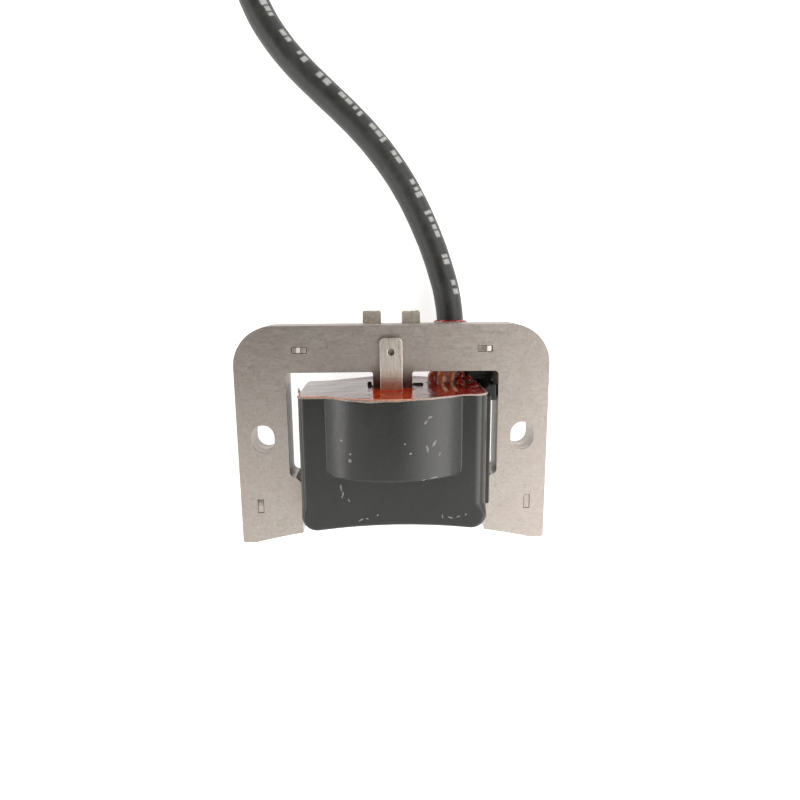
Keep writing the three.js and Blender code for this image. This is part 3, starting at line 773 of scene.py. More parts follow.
def turned(name, profile, sides, smooth_degrees):
    """A body turned about the boot's axis, from pairs of a distance along it and a radius."""
    along = np.array([p[0] for p in profile], float)
    radii = np.array([p[1] for p in profile], float)
    angles = np.linspace(0, 2 * np.pi, sides, endpoint=False)
    rings = np.stack(
        [
            np.repeat(along, sides),
            np.outer(radii, np.cos(angles)).ravel(),
            np.outer(radii, np.sin(angles)).ravel(),
        ],
        axis=1,
    )
    count = len(profile)
    faces = []
    for ring, side in itertools.product(range(count), range(sides)):
        following = (ring + 1) % count
        a, b = ring * sides + side, ring * sides + (side + 1) % sides
        c, d = following * sides + (side + 1) % sides, following * sides + side
        faces.append((a, d, c, b))
    mesh = bpy.data.meshes.new(name)
    mesh.from_pydata(row_points(rings + BOOT_START).tolist(), [], faces)
    tidy_mesh(mesh, 1e-7, 1e-7)
    mesh.shade_smooth()
    mesh.set_sharp_from_angle(angle=math.radians(smooth_degrees))
    return add_object(name, mesh)


def make_boot():
    outer = [(0.3, 0), (0.3, 5.0), (1.2, NECK_RADIUS - 0.4)]
    for i in range(5):  # flexible ribs of the neck
        start = 1.8 + 1.5 * i
        outer += [(start, NECK_RADIUS), (start + 0.8, NECK_RADIUS), (start + 1.1, NECK_RADIUS - 0.7)]
    outer += [(9.4, NECK_RADIUS - 0.1), (14, WAIST_RADIUS), (BOOT_LENGTH - 5, WAIST_RADIUS)]
    outer += [(BOOT_LENGTH - 4, COLLAR_RADIUS), (BOOT_LENGTH, COLLAR_RADIUS), (BOOT_LENGTH, BORE + 0.8)]
    inner = [(BOOT_LENGTH - 0.9, BORE), (BOOT_LENGTH - 6, BORE), (BOOT_LENGTH - 6.5, BORE + 0.4)]
    inner += [(BOOT_LENGTH - 8, BORE + 0.4), (BOOT_LENGTH - 8.5, BORE), (BORE_FLOOR, BORE), (BORE_FLOOR, 0)]
    boot = turned("spark_plug_boot", rounded(outer + inner, 0.35, axis_points=True), 64, 50)
    boot.data.materials.append(moulded_rubber("boot_moulding"))
    return stand_for(boot, "plug_boot")


def make_plug_terminal():
    """A pressed cup with a wound spring that grips the spark plug's nut."""
    floor = BORE_FLOOR + 0.3
    profile = [(floor, 0), (floor, 4.9), (floor + 8.4, 4.9), (floor + 8.7, 4.6)]
    profile += [(floor + 8.4, 4.3), (floor + 0.8, 4.3), (floor + 0.8, 0)]
    cup = turned("plug_terminal_cup", rounded(profile, 0.25, axis_points=True), 48, 40)
    turns = 5
    steps = 40
    t = np.linspace(0, turns * 2 * np.pi, turns * steps)
    line = np.stack([floor + 1.5 + t / (2 * np.pi) * 1.25, 3.85 * np.cos(t), 3.85 * np.sin(t)], axis=1)
    wire = bpy.data.curves.new("wire", "CURVE")
    wire.dimensions = "3D"
    wire.bevel_depth = 0.38 * MM
    wire.bevel_resolution = 3
    wire.use_fill_caps = True
    spline = wire.splines.new("POLY")
    spline.points.add(len(line) - 1)
    for point, place in zip(spline.points, row_points(line + BOOT_START)):
        point.co = (*place, 1)
    coiled = mesh_of_curve("wire", wire)
    shape = bmesh.new()
    shape.from_mesh(cup.data)
    shape.from_mesh(coiled)
    bmesh.ops.remove_doubles(shape, verts=shape.verts, dist=1e-7)
    shape.to_mesh(cup.data)
    shape.free()
    bpy.data.meshes.remove(coiled)
    cup.data.shade_smooth()
    cup.data.set_sharp_from_angle(angle=math.radians(40))
    cup.data.materials.append(spring_steel("terminal_steel"))
    return stand_for(cup, "plug_terminal")


boot_piece = make_boot()
terminal_piece = make_plug_terminal()


# ---- laminated core ------------------------------------------------------------------

CORE_HALF = front_sheet[1].x / MM
CORNER_RADIUS = 11.7
TOP_BAR = 13.4
WINDOW_HALF = 30.6
LEG_HALF = 5.68
SHOULDER = 44.5
FOOT_INNER = 27.3
POLE_CROWN = 59.9
POLE_RADIUS = 180
FOOT_DEPTH = 64.7
SLOT_X = 38
SLOT_DEPTH = 32.8
SLOT_HALF_WIDTH = 3.34
SLOT_HALF_LENGTH = 4.14
PITCH = 2 * STACK_HALF / SHEETS
SHEET_EDGE = 0.05


def pole(x):
    """The pole arc's height, at a distance x from the middle."""
    return -POLE_CROWN - POLE_RADIUS + math.sqrt(POLE_RADIUS**2 - x**2)


def core_outline():
    notch = (WINDOW_HALF - FOOT_INNER) / 2
    fillet = 1.2
    foot_round = 0.8
    sagitta = FOOT_DEPTH - POLE_CROWN
    land = math.sqrt(POLE_RADIUS**2 - (POLE_RADIUS - sagitta) ** 2)
    right = [
        *arc(CORE_HALF - CORNER_RADIUS, -CORNER_RADIUS, CORNER_RADIUS, 90, 0, 24),
        *arc(CORE_HALF - foot_round, -FOOT_DEPTH + foot_round, foot_round, 0, -90, 5),
        *((x, pole(x)) for x in np.linspace(land, FOOT_INNER, 12)),
        (FOOT_INNER, -SHOULDER - notch),
        *arc(WINDOW_HALF - notch, -SHOULDER + notch, notch, -90, 0, 8),
        *arc(WINDOW_HALF - fillet, -TOP_BAR - fillet, fillet, 0, 90, 6),
        *arc(LEG_HALF + fillet / 2, -TOP_BAR - fillet / 2, fillet / 2, 90, 180, 4),
        *((x, pole(x)) for x in np.linspace(LEG_HALF, 0, 4)),
    ]
    return right + [(-x, v) for x, v in right[-2::-1]]


def slot_outline(side):
    straight = SLOT_HALF_LENGTH - SLOT_HALF_WIDTH
    return [
        *arc(side * SLOT_X, -SLOT_DEPTH + straight, SLOT_HALF_WIDTH, 0, 180, 20),
        *arc(side * SLOT_X, -SLOT_DEPTH - straight, SLOT_HALF_WIDTH, 180, 360, 20),
    ]


# Each interlock: x, v, turn, and its floor as pairs of a place along it (-1 to 1) and a depth.
INTERLOCKS = [
    (-26.5, -7, 0, [(-1, 0.10), (-0.4, 0.10), (0.1, 0.40), (0.45, 0.40), (1, 0.12)]),
    (26.6, -7, 0, [(-1, 0.14), (0.25, 0.10), (0.3, 0.06), (1, 0.40)]),
    (-39.6, -53.3, -90, [(-1, 0.40), (-0.05, 0.08), (0.1, 0.12), (1, 0.16)]),
    (40, -53.3, -90, [(-1, 0.20), (1, 0.08)]),
]
INTERLOCK_LENGTH = 4.3
INTERLOCK_WIDTH = 1.8
SHEAR_GAP = 0.15
SHEAR_DEPTH = 0.52


def interlock_cutters(x, v, degrees, floor, face):
    """The pressed pocket of an interlock, and the sheared gap round it."""
    half = INTERLOCK_LENGTH / 2
    side = INTERLOCK_WIDTH / 2
    above = face + 0.2
    bottom = face - SHEAR_DEPTH
    reach = half - 0.9 * SHEAR_GAP
    pocket = [(place * reach, face - depth) for place, depth in floor]
    pocket = [(-reach, above), *pocket, (reach, above)]
    cutters = [prism_mesh("pocket", pocket, 1, -side + 0.9 * SHEAR_GAP, side - 0.9 * SHEAR_GAP)]
    for low in (-side, side - SHEAR_GAP):
        gap = [(-half, above), (-half, bottom), (half, bottom), (half, above)]
        cutters.append(prism_mesh("gap", gap, 1, low, low + SHEAR_GAP))
    for low in (-half, half - SHEAR_GAP):
        gap = [(low, above), (low, bottom), (low + SHEAR_GAP, bottom), (low + SHEAR_GAP, above)]
        cutters.append(prism_mesh("gap", gap, 1, -side, side))
    for mesh in cutters:
        mesh.transform(Matrix.Rotation(math.radians(degrees), 4, "Z"))
        mesh.transform(Matrix.Translation((x, v, 0)))
    return cutters


def make_core():
    outline = core_outline()
    slots = [slot_outline(-1), slot_outline(1)]
    random = np.random.default_rng(5)
    steel = [rolled_steel(f"rolled_steel_{i}", seed=i * 31.0) for i in range(3)]
    front_steel = rolled_steel("rolled_steel_front", front=row_point(0, 0, STACK_HALF).z / MM)
    for i in range(SHEETS):
        number = f"{i + 1:02d}"
        front = STACK_HALF - i * PITCH - 0.01
        back = STACK_HALF - (i + 1) * PITCH + 0.01
        slip = random.uniform(-0.035, 0.035, 2) if 0 < i < SHEETS - 1 else (0, 0)
        moved = [[(x + slip[0], v + slip[1] - 0.035) for x, v in ring] for ring in (outline, *slots)]
        mesh = plate_mesh(f"sheet_{number}", moved, back, front, SHEET_EDGE)
        if i in (0, SHEETS - 1):
            cutters = []
            for site in INTERLOCKS:
                cutters += interlock_cutters(*site, front)
            mesh = cut(mesh, cutters)
        sheet = plate_piece(f"sheet_{number}", mesh)
        sheet.data.materials.append(front_steel if i == 0 else steel[i % 3])
        stand_for(sheet, f"lamination_{number}")


make_core()


# ---- stop terminal and clip ----------------------------------------------------------

BLADE_X = -0.43
BLADE_HALF = 3.175
BLADE_BACK = 6.3625
BLADE_FRONT = 7.1625
BLADE_TIP = -3.57
BLADE_CORNER = 0.8
BLADE_HOLE = (BLADE_X, -7.5, 0.98)  # x, v and radius
BLADE_FOOT = -18.6
CLIP_BACK = -6.0625
CLIP_FRONT = -5.0625


def make_blade():
    left, right = BLADE_X - BLADE_HALF, BLADE_X + BLADE_HALF
    outline = [
        (right, -22.8),
        (right, BLADE_TIP - BLADE_CORNER),
        (right - BLADE_CORNER, BLADE_TIP),
        (left + BLADE_CORNER, BLADE_TIP),
        (left, BLADE_TIP - BLADE_CORNER),
        (left, -20.5),
        (BLADE_FOOT, -20.5),
        (BLADE_FOOT, -25.6),
        (-17.2, -25.6),
        (-17.2, -22.8),
    ]
    hole = arc(*BLADE_HOLE, 0, 350, 35)
    mesh = plate_mesh("stop_blade", [rounded(outline, 0.5), hole], BLADE_BACK, BLADE_FRONT, 0.14, 3)
    blade = plate_piece("stop_blade", mesh)
    blade.data.materials.append(bright_tin("blade_plating"))
    return stand_for(blade, "stop_terminal")


def make_clip():
    outer, inner, top = 8.65, 3.05, 3.65
    right = [(4.2, -20.1), (4.2, -12), (outer, -9), (outer, top - 0.55), (outer - 0.5, top - 0.1)]
    ragged = [(7.6, top), (6.9, top - 0.2), (6.2, top - 0.05), (5.4, top - 0.3), (4.4, top - 0.15)]
    right += [*ragged, (inner + 0.5, top - 0.1), (inner, top - 0.55), (inner, -1.2)]
    left = [(-4.2, -20.1), (-4.2, -12), (-outer, -9), (-outer, top - 0.4), (-outer + 0.4, top)]
    left += [(-inner - 0.4, top), (-inner, top - 0.4), (-inner, -1.2)]
    outline = rounded(right + left[::-1], 0.35)
    clip = plate_piece("core_clip_strip", plate_mesh("clip", [outline], CLIP_BACK, CLIP_FRONT, 0.16, 3))
    clip.data.materials.append(strip_steel("clip_plating"))
    return stand_for(clip, "core_clip")


make_blade()
make_clip()


# ---- solids from distances -----------------------------------------------------------


def join_softly(a, b, radius):
    reach = np.hypot(np.maximum(radius - a, 0), np.maximum(radius - b, 0))
    return np.maximum(radius, np.minimum(a, b)) - reach


def meet_softly(a, b, radius):
    reach = np.hypot(np.maximum(radius + a, 0), np.maximum(radius + b, 0))
    return np.minimum(-radius, np.maximum(a, b)) + reach


def rectangle(x, y, half_x, half_y, radius):
    qx, qy = np.abs(x) - half_x + radius, np.abs(y) - half_y + radius
    outside = np.hypot(np.maximum(qx, 0), np.maximum(qy, 0))
    return outside + np.minimum(np.maximum(qx, qy), 0) - radius


def block(x, v, w, low, high, radius):
    middle = (np.array(low) + high) / 2
    half = (np.array(high) - low) / 2 - radius
    qx, qv, qw = (np.abs(p - m) - h for p, m, h in zip((x, v, w), middle, half))
    outside = np.sqrt(np.maximum(qx, 0) ** 2 + np.maximum(qv, 0) ** 2 + np.maximum(qw, 0) ** 2)
    return outside + np.minimum(np.maximum(np.maximum(qx, qv), qw), 0) - radius


def rise(value, middle, width):
    """0 well below the middle and 1 well above it, or the reverse for a negative width."""
    return 1 / (1 + np.exp(-(value - middle) / width))


def ripple(a, b, size, seed, waves=7):
    """A smooth uneven field between about -1 and 1, with features of that size."""
    random = np.random.default_rng(seed)
    total = 0
    for _ in range(waves):
        angle, phase = random.uniform(0, 2 * np.pi, 2)
        rate = 2 * np.pi / (size * random.uniform(0.7, 1.6))
        total = total + np.sin((a * math.cos(angle) + b * math.sin(angle)) * rate + phase)
    return total / math.sqrt(waves)


def skin(name, distance, low, high, pitch):
    """The surface where the distance is 0, as a net of quads with one point in each crossed cell."""
    low, high = np.array(low, float), np.array(high, float)
    counts = np.ceil((high - low) / pitch).astype(int) + 1
    axes = [low[i] + pitch * np.arange(counts[i]) for i in range(3)]
    field = distance(*(a.astype(np.float32) for a in np.meshgrid(*axes, indexing="ij", sparse=True)))
    field = np.broadcast_to(field, counts).astype(np.float32)
    cells = counts - 1
    total = np.zeros((*cells, 4), np.float32)  # sum of the crossings and their number
    for axis in range(3):
        start = [slice(None)] * 3
        end = [slice(None)] * 3
        start[axis], end[axis] = slice(0, -1), slice(1, None)
        a, b = field[tuple(start)], field[tuple(end)]
        crossed = (a < 0) != (b < 0)
        share = np.where(crossed, a / np.where(crossed, a - b, 1), 0)
        others = [i for i in range(3) if i != axis]
        for steps in itertools.product((0, 1), repeat=2):
            window = [slice(0, cells[i]) for i in range(3)]
            for other, step in zip(others, steps):
                window[other] = slice(step, cells[other] + step)
            hit = crossed[tuple(window)]
            total[..., 3] += hit
            total[..., axis] += np.where(hit, share[tuple(window)], 0)
            for other, step in zip(others, steps):
                total[..., other] += hit * step
    active = total[..., 3] > 0
    index = np.full(cells, -1, int)
    index[active] = np.arange(active.sum())
    inside_cell = total[active][:, :3] / total[active][:, 3:]
    points = low + (np.argwhere(active) + inside_cell) * pitch
    faces = []
    for axis in range(3):
        others = [(axis + 1) % 3, (axis + 2) % 3]
        window = [slice(1, cells[i]) for i in range(3)]
        window[axis] = slice(0, cells[axis])
        following = list(window)
        following[axis] = slice(1, cells[axis] + 1)
        a, b = field[tuple(window)] < 0, field[tuple(following)] < 0
        for ahead in (True, False):
            where = np.argwhere((a & ~b) if ahead else (~a & b))
            base = where.copy()
            for other in others:
                base[:, other] += 1
            ring = []
            for step in ((0, 0), (1, 0), (1, 1), (0, 1)):
                corner = base.copy()
                corner[:, others[0]] -= 1 - step[0]
                corner[:, others[1]] -= 1 - step[1]
                ring.append(index[tuple(corner.T)])
            quads = np.stack(ring, axis=1)
            faces.append(quads if ahead else quads[:, ::-1])
    faces = np.concatenate(faces)
    for _ in range(3):
        value, slope = with_slope(distance, points)
        size = np.maximum((slope**2).sum(axis=1), 0.2)
        step = slope * (value / size)[:, None]
        points = points - np.clip(step, -0.5 * pitch, 0.5 * pitch)
    _, slope = with_slope(distance, points)
    slope /= np.maximum(np.linalg.norm(slope, axis=1), 1e-9)[:, None]
    obj = mesh_piece(name, points, faces.tolist())
    obj.data.shade_smooth()
    obj.data.normals_split_custom_set_from_vertices(slope.tolist())
    return obj, points


def with_slope(distance, points, reach=0.03):
    """The distance at each point, and its gradient."""
    value = distance(*points.T)
    slope = np.empty_like(points)
    for axis in range(3):
        step = np.zeros(3)
        step[axis] = reach
        slope[:, axis] = (distance(*(points + step).T) - distance(*(points - step).T)) / (2 * reach)
    return value, slope


# ---- coil case -----------------------------------------------------------------------

RIM = -18.8
CASE_HALF_X = 26.4
CASE_HALF_W = STACK_HALF + 9.2
CASE_CORNER_LEFT = 2.2
CASE_CORNER_RIGHT = 3.8
BOTTOM_CORNER = 5
BOTTOM_EDGE = 1.2
WALL = 1.6
BULGE = 6
BULGE_HALF = 18.9
BULGE_RADIUS = (BULGE_HALF**2 + BULGE**2) / (2 * BULGE)
BULGE_CENTRE = CASE_HALF_W + BULGE - BULGE_RADIUS
LEDGE = -41.6
BOTTOM = -56.6
TOWER_X, TOWER_W, TOWER_RADIUS, TOWER_BORE, TOWER_TOP = 18.5, -11.6, 6.2, 4.4, -1.2
TUNNEL_X, TUNNEL_W = LEG_HALF + 0.3, STACK_HALF + 0.3


def case_plan(x, w):
    """Distance to the outline of the box of the case, seen along v."""
    radius = np.where(x < 0, CASE_CORNER_LEFT, CASE_CORNER_RIGHT)
    return rectangle(x, w, CASE_HALF_X, CASE_HALF_W, radius)


def barrel(x, w):
    front = np.hypot(x, w - BULGE_CENTRE) - BULGE_RADIUS
    rear = np.hypot(x, w + BULGE_CENTRE) - BULGE_RADIUS
    return np.maximum(front, rear)


def bulge_plan(x, w):
    return np.maximum(barrel(x, w), np.abs(x) - BULGE_HALF)


def above_arc(x, v):
    """Distance to the arc that the bottom of the case follows, negative above it."""
    return POLE_RADIUS - np.hypot(x, v - BOTTOM + POLE_RADIUS)


def case_body(x, v, w):
    """The outside of the tub: the box, a bulge on the front and on the rear, and the bottom arc."""
    outline = meet_softly(np.abs(x) - BULGE_HALF, LEDGE - v, 2.6)
    bulges = meet_softly(barrel(x, w), outline, 0.5)
    side = np.where(x < 0, CASE_CORNER_LEFT, CASE_CORNER_RIGHT)
    low = np.clip((-v - 50) / 4, 0, 1)
    edge = side + (BOTTOM_EDGE - side) * low * low * (3 - 2 * low)
    tub = meet_softly(np.abs(x) - CASE_HALF_X, above_arc(x, v), BOTTOM_CORNER)
    tub = meet_softly(tub, np.abs(w) - CASE_HALF_W, edge)
    body = join_softly(tub, bulges, 0.35)
    return np.maximum(body, FLOOR_W + 0.02 - w)


def case_distance(x, v, w):
    body = case_body(x, v, w)
    shell = meet_softly(np.maximum(body, -body - WALL), v - RIM, 0.25)
    sleeve = rectangle(x, w, TUNNEL_X + 1, TUNNEL_W + 1, 0.5)
    sleeve = np.maximum(sleeve, np.maximum(v + 20.5, above_arc(x, v)))
    solid = np.minimum(shell, sleeve)
    tower = np.hypot(x - TOWER_X, w - TOWER_W)
    tower = meet_softly(tower - TOWER_RADIUS, np.maximum(v - TOWER_TOP, -34 - v), 0.5)
    solid = join_softly(solid, tower, 0.6)
    behind = block(x, v, w, (22.8, -18.2, -13.9), (31.4, -14, -5.06), 0.6)
    shoulder = block(x, v, w, (22.8, -22.3, -13.9), (30.3, -17.2, 4.2), 0.35)
    lip = np.hypot(x - 30.3, (v + 22.3) * 1.1) - 5.3  # the shoulder rises in a quarter round
    shoulder = np.maximum(shoulder, np.minimum(lip, w + 5))
    solid = join_softly(solid, shoulder, 0.4)
    solid = join_softly(solid, behind, 0.6)
    rail = block(x, v, w, (24, -52.6, 5.06), (28, -20, 8.06), 0.3)
    solid = join_softly(solid, rail, 0.3)
    bore = np.maximum(np.hypot(x - TOWER_X, w - TOWER_W) - TOWER_BORE, -31.5 - v)
    leg_hole = rectangle(x, w, TUNNEL_X, TUNNEL_W, 0.3)
    return np.maximum(solid, -np.minimum(bore, leg_hole))


# White scuffs on the front of the case, and two painted highlights along the bulge's lower edge: x, v,
# length, width and turn.
SCUFFS_AND_HIGHLIGHTS = [
    (10.9, -31.2, 2.4, 0.75, 60),
    (8.9, -32.6, 2.5, 0.75, 100),
    (12.4, -34.4, 1.1, 0.5, 70),
    (9.7, -23.9, 1.6, 0.7, 20),
    (8.5, -25.2, 1.4, 0.7, 60),
    (-14.4, -30.4, 0.9, 0.7, 0),
    (-12.1, -35.9, 1.3, 1.0, 100),
    (-12.0, -34.0, 0.8, 0.7, 0),
    (-15.0, -44.9, 2.6, 0.6, 100),
    (-14.6, -47.0, 2.4, 0.55, 75),
    (-12.9, -48.6, 1.2, 0.5, 120),
    (4.3, -33.6, 1.0, 0.6, 30),
    (2.8, -30.9, 0.7, 0.5, 0),
    # Painted highlights: two light strokes along the lower edge of the front bulge.
    (10.8, -40.9, 2.6, 0.4, 8),
    (7.9, -41.3, 1.4, 0.35, 5),
    (-9.6, -54.5, 2.0, 0.5, 30),
    (-7.8, -54.2, 1.0, 0.5, 160),
    (-4.8, -53.2, 0.7, 0.6, 0),
    (13.6, -53.9, 0.5, 1.6, 10),
    (15.9, -54.3, 1.8, 0.5, 165),
    (18.2, -54.0, 1.4, 0.5, 20),
    (20.3, -53.5, 0.9, 0.5, 60),
]


def make_case():
    case, _ = skin("coil_case_moulding", case_distance, (-27.4, -59.4, -20.4), (31.2, -0.4, 20.8), 0.4)
    case.data.materials.append(case_plastic("case_moulding", SCUFFS_AND_HIGHLIGHTS))
    return stand_for(case, "coil_case")


make_case()


# ---- epoxy ---------------------------------------------------------------------------

FILM = 0.16  # how far the film stands out of the case where it ran over the rim
SLAB_BOTTOM = -24
FILL = -18.62  # the epoxy's level away from everything that stands in it


def fill_height(x, w):
    """Height of the epoxy's surface: nearly flat, with a meniscus at everything that stands in it."""
    leg = rectangle(x, w, LEG_HALF, STACK_HALF, 0.2)
    blade = rectangle(x - BLADE_X, w - (BLADE_BACK + BLADE_FRONT) / 2, BLADE_HALF, 0.4, 0.1)
    stem = rectangle(x, w - (CLIP_BACK + CLIP_FRONT) / 2, 4.2, 0.5, 0.1)
    height = FILL + 0.035 * ripple(x, w, 9, 3)
    height = height + 0.4 * np.exp(-np.maximum(leg, 0) / 0.6)
    height = height + 0.35 * np.exp(-np.maximum(np.minimum(blade, stem), 0) / 0.45)
    height = height + 0.5 * np.exp(-((w + 19) ** 2) / 10 - x**2 / 200)
    busy = rise(x, 18.5, 0.9) * rise(w, 1, -1.5)
    return height + busy * (0.25 + 0.25 * ripple(x, w, 2.4, 8))


RUNS = [(12.7, -7.4, 1.5), (15.2, -5.7, 1.5), (18.0, -5.5, 1.4)]  # x, w and radius
RUN_TOP = -15.0
RUN_TAPER = 0.08
CLIMB = -14.4  # how high the epoxy climbed the tower
RUN_PITCH = RUNS[2][0] - RUNS[1][0]
BLOBS = [  # x, v, w and radius
    (20.9, -16.6, -6.6, 1.9),
    (23.2, -17.6, -4.4, 1.6),
    (20.6, -18.2, -3.0, 1.3),
    (24.4, -18.4, -1.2, 1.2),
]


def climbing_epoxy(x, v, w):
    """Epoxy that climbed the tower: upright runs on its left, and lumps on its right."""
    coat = np.hypot(x - TOWER_X, w - TOWER_W) - TOWER_RADIUS - 0.4
    climbed = np.maximum(coat, v - CLIMB + 0.35 * np.maximum(x - TOWER_X, 0))
    for x0, w0, radius in RUNS:
        above = np.maximum(v - RUN_TOP + radius, 0)
        run = np.sqrt((x - x0) ** 2 + (w - w0) ** 2 + above**2) - radius - RUN_TAPER * (RUN_TOP - v)
        climbed = join_softly(climbed, run, 0.25)
    for x0, v0, w0, radius in BLOBS:
        blob = np.sqrt((x - x0) ** 2 + (v - v0) ** 2 + (w - w0) ** 2) - radius
        climbed = join_softly(climbed, blob, 0.5)
    return np.maximum(climbed, -20 - v)


def notch_bumps(x, v, w):
    """Two small bumps that stand out of the epoxy beside the leg; the material paints them black as the
    shade of dark notches there.
    """
    left = block(x, v, w, (-7.5, -19.5, -4.6), (-6.2, -17.5, -3.4), 0.3)
    right = block(x, v, w, (6.2, -19.5, -4.2), (9.4, -18.05, -3.4), 0.2)
    return np.minimum(left, right)


def epoxy_distance(x, v, w):
    plan = join_softly(case_plan(x, w), bulge_plan(x, w), 0.35)
    top = v - fill_height(x, w)
    fill = np.maximum(plan + WALL - 0.04, SLAB_BOTTOM - v)
    drop = 0.30 + 0.08 * ripple(x, w, 5, 21) + 0.3 * np.exp(-((x + 24) ** 2) / 16)
    drop = drop + 0.5 * np.exp(-((x + 7) ** 2) / 90) * (w > 0)
    film = np.maximum(plan - FILM, RIM - np.maximum(drop, 0.1) - v)
    solid = meet_softly(np.minimum(fill, film), top, 0.25)
    solid = join_softly(solid, np.maximum(climbing_epoxy(x, v, w), plan + 0.3), 0.9)
    solid = join_softly(solid, notch_bumps(x, v, w), 0.15)
    lean = np.hypot(x + 26.75, w - 6.4 - 0.15 * (v + 18.6))
    spike = np.maximum(lean - 0.42 * np.clip((-16.9 - v) / 1.7, 0, 1), v + 16.95)
    solid = join_softly(solid, np.maximum(spike, -19 - v), 0.25)
    return np.maximum(solid, FLOOR_W + 0.02 - w)


def make_epoxy():
    low, high = (-27.4, -24.6, -20.2), (27.2, -12.6, 20.6)
    epoxy, points = skin("epoxy_fill", epoxy_distance, low, high, 0.3)
    x, v, w = points.T
    plan = join_softly(case_plan(x, w), bulge_plan(x, w), 0.35)
    to_tower = np.hypot(x - TOWER_X, w - TOWER_W) - TOWER_RADIUS
    right_half = rise(x, TOWER_X + 0.9, 0.35)
    round_tower = np.clip(1 - np.maximum(to_tower - 1, 0) / 2.5, 0, 1) * right_half
    corner = rise(x, 20.5, 0.8) * rise(w, 5, -2)
    dark = np.clip(np.maximum(round_tower, 0.9 * corner), 0, 1)
    # Painted shade: the bumps beside the leg, which the material paints black.
    tips = notch_bumps(x, v, w) < 0.12
    before_leg = rise(np.abs(x), 5.9, -0.25) * (w > STACK_HALF - 0.5)
    raised = rise(v, -18.1, 0.15) * (x > 8)
    # Painted reflection: the flat epoxy under the runs is painted part orange, as their mirror image.
    below = rise(x, 11.5, 0.4) * rise(x, 19, -0.6) * rise(w, 9, -2)
    thick_and_mirrored = np.clip(np.maximum(np.maximum(before_leg, raised), 0.45 * below), 0, 1)
    # The rim's edge, which the material paints lighter, partly as a highlight.
    rim = np.clip((plan + 0.55) / 0.5, 0, 1) * (v > RIM - 0.02) * rise(w, -3, 1.5)
    film = (v < RIM - 0.02) * (plan > -0.5) + (x < -26.3) * (v > -18.55)
    levels = {
        "over_plastic": dark,
        "black": tips,
        "thick_and_mirrored": thick_and_mirrored * (1 - dark),
        "raised": raised,
        # Where the rim's painted highlight turns pale, towards the right.
        "pale": np.clip((x - 4) / 5, 0, 1),
        "rim_edge": rim * (1 - 0.6 * dark),
        "film": np.clip(film, 0, 1),
    }
    for name, values in levels.items():
        set_attribute(epoxy, name, values)
    epoxy.data.materials.append(cast_epoxy("cast_epoxy"))
    return stand_for(epoxy, "epoxy_potting")


def make_lead_seal():
    """The collar of glue where the lead comes out of the tower."""

    def collar(x, v, w):
        round_lead = np.hypot(x - TOWER_X, w - TOWER_W)
        uneven = 0.18 * ripple(x, w, 6, 40, 5)
        ring = np.hypot(round_lead - 4.3, (v - TOWER_TOP) * 0.8) - 1.15 - uneven
        return np.maximum(np.maximum(ring, TOWER_TOP + 0.02 - v), 4.12 - round_lead)

    low = (TOWER_X - 6.5, TOWER_TOP - 0.4, TOWER_W - 6.5)
    high = (TOWER_X + 6.5, TOWER_TOP + 2.4, TOWER_W + 6.5)
    seal, points = skin("lead_seal", collar, low, high, 0.25)
    everywhere = np.ones(len(points))
    # The collar takes the dark film colour, and with it the painted glints.
    set_attribute(seal, "over_plastic", 0.9 * everywhere)
    seal.data.materials.append(bpy.data.materials["cast_epoxy"])
    return stand_for(seal, None)


make_epoxy()
make_lead_seal()


# ---- materials of the hidden pieces --------------------------------------------------

nylon = plain_moulding("natural_nylon", (0.60, 0.54, 0.42), (0.76, 0.71, 0.58), 0.5)
mould_compound = plain_moulding("mould_compound", (0.016, 0.016, 0.018), (0.032, 0.032, 0.034), 0.5, 3)
dipped_blue = plain_moulding("dipped_blue", (0.02, 0.09, 0.24), (0.04, 0.15, 0.36), 0.3, 1)
HIDDEN = {
    "primary_bobbin": nylon,
    "secondary_bobbin": nylon,
    "primary_winding": wound_wire("copper_turns", (0.30, 0.10, 0.03), (0.72, 0.32, 0.12), 0.5),
    "secondary_winding": wound_wire("fine_turns", (0.24, 0.07, 0.02), (0.55, 0.22, 0.09), 0.12),
    "control_board": circuit_board("solder_mask"),
    "power_transistor": mould_compound,
    "driver_chip": mould_compound,
    "capacitor": dipped_blue,
    "resistor": banded_body("resistor_lacquer", (0.5, 0.38, 0.2), (0.68, 0.55, 0.34), (0.3, 0.03, 0.02)),
    "diode": banded_body("diode_glass", (0.015, 0.015, 0.017), (0.03, 0.03, 0.03), (0.6, 0.6, 0.6)),
    "high_tension_contact": spring_steel("contact_plating"),
}
for node, material in HIDDEN.items():
    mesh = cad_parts[node].data
    mesh.materials.clear()
    mesh.materials.append(material)


# ---- floor and light -----------------------------------------------------------------


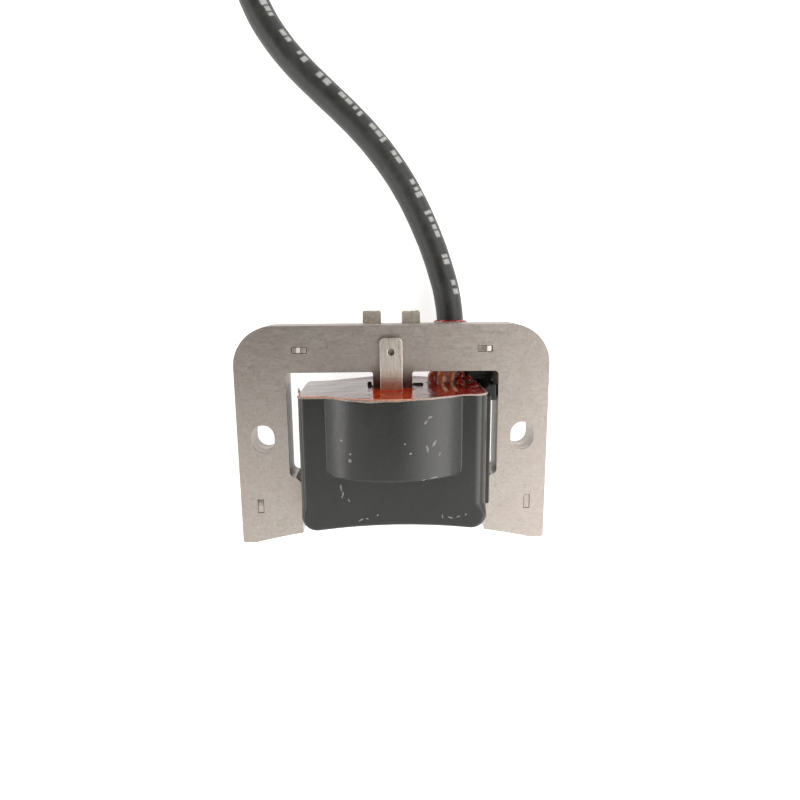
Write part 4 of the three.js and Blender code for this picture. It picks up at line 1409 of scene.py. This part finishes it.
def make_floor():
    reach = 1.5
    mesh = bpy.data.meshes.new("floor")
    corners = [(-reach, -reach), (reach, -reach), (reach, reach), (-reach, reach)]
    mesh.from_pydata([(x, y, -0.0001) for x, y in corners], [], [(0, 1, 2, 3)])
    floor = add_object("floor", mesh)
    s = Shader("lit_table", roughness=0.7)
    grain = s.noise(0.4, 3, 0.6)
    s.colour(s.mix(s.ramp(grain, 0.3, 0.7), (0.84, 0.84, 0.84), (0.87, 0.87, 0.87)))
    s.surface.inputs["Emission Color"].default_value = (1, 1, 1, 1)
    s.surface.inputs["Emission Strength"].default_value = TABLE_GLOW
    mesh.materials.append(s.material)


TABLE_GLOW = 0.70
CEILING_DARK = 0.09
CEILING_LIGHT = 1.35
WALL_LIGHT = 1.04
WINDOW_LIGHT = 2.9
SIDE_LIGHT = 3.1
ROOM_COLOUR = (1, 0.985, 0.97, 1)


def make_world():
    """A white room: a dim ceiling that is lighter towards -Y, pale walls, a light on each side."""
    world = bpy.data.worlds.new("room")
    world.use_nodes = True
    sky = Nodes(world.node_tree)
    split = sky.node("ShaderNodeSeparateXYZ")
    sky.join(sky.node("ShaderNodeTexCoord").outputs["Generated"], split.inputs[0])
    east, north, up = split.outputs
    lean = sky.math("DIVIDE", sky.math("MULTIPLY", north, -1), sky.math("MAXIMUM", up, 0.15))
    ceiling = sky.ramp(lean, 0.09, 0.36, CEILING_DARK, CEILING_LIGHT, smooth=True)
    walls = sky.ramp(up, 0.55, 0.30, 0, WALL_LIGHT, smooth=True)
    window = sky.ramp(east, 0.08, 0.85, 0, WINDOW_LIGHT, smooth=True)
    lamp = sky.ramp(east, -0.72, -0.82, 0, SIDE_LIGHT, smooth=True)
    high = sky.ramp(up, 0.34, 0.50, smooth=True)
    sides = sky.math("MULTIPLY", sky.math("ADD", window, lamp), high)
    room = sky.math("MAXIMUM", ceiling, walls)
    background = sky.node("ShaderNodeBackground")
    sky.join(sky.math("ADD", room, sides), background.inputs["Strength"])
    background.inputs["Color"].default_value = ROOM_COLOUR
    output = sky.node("ShaderNodeOutputWorld")
    sky.join(background.outputs[0], output.inputs["Surface"])
    scene.world = world


make_floor()
make_world()
scene.view_settings.view_transform = "Standard"
scene.view_settings.look = "None"
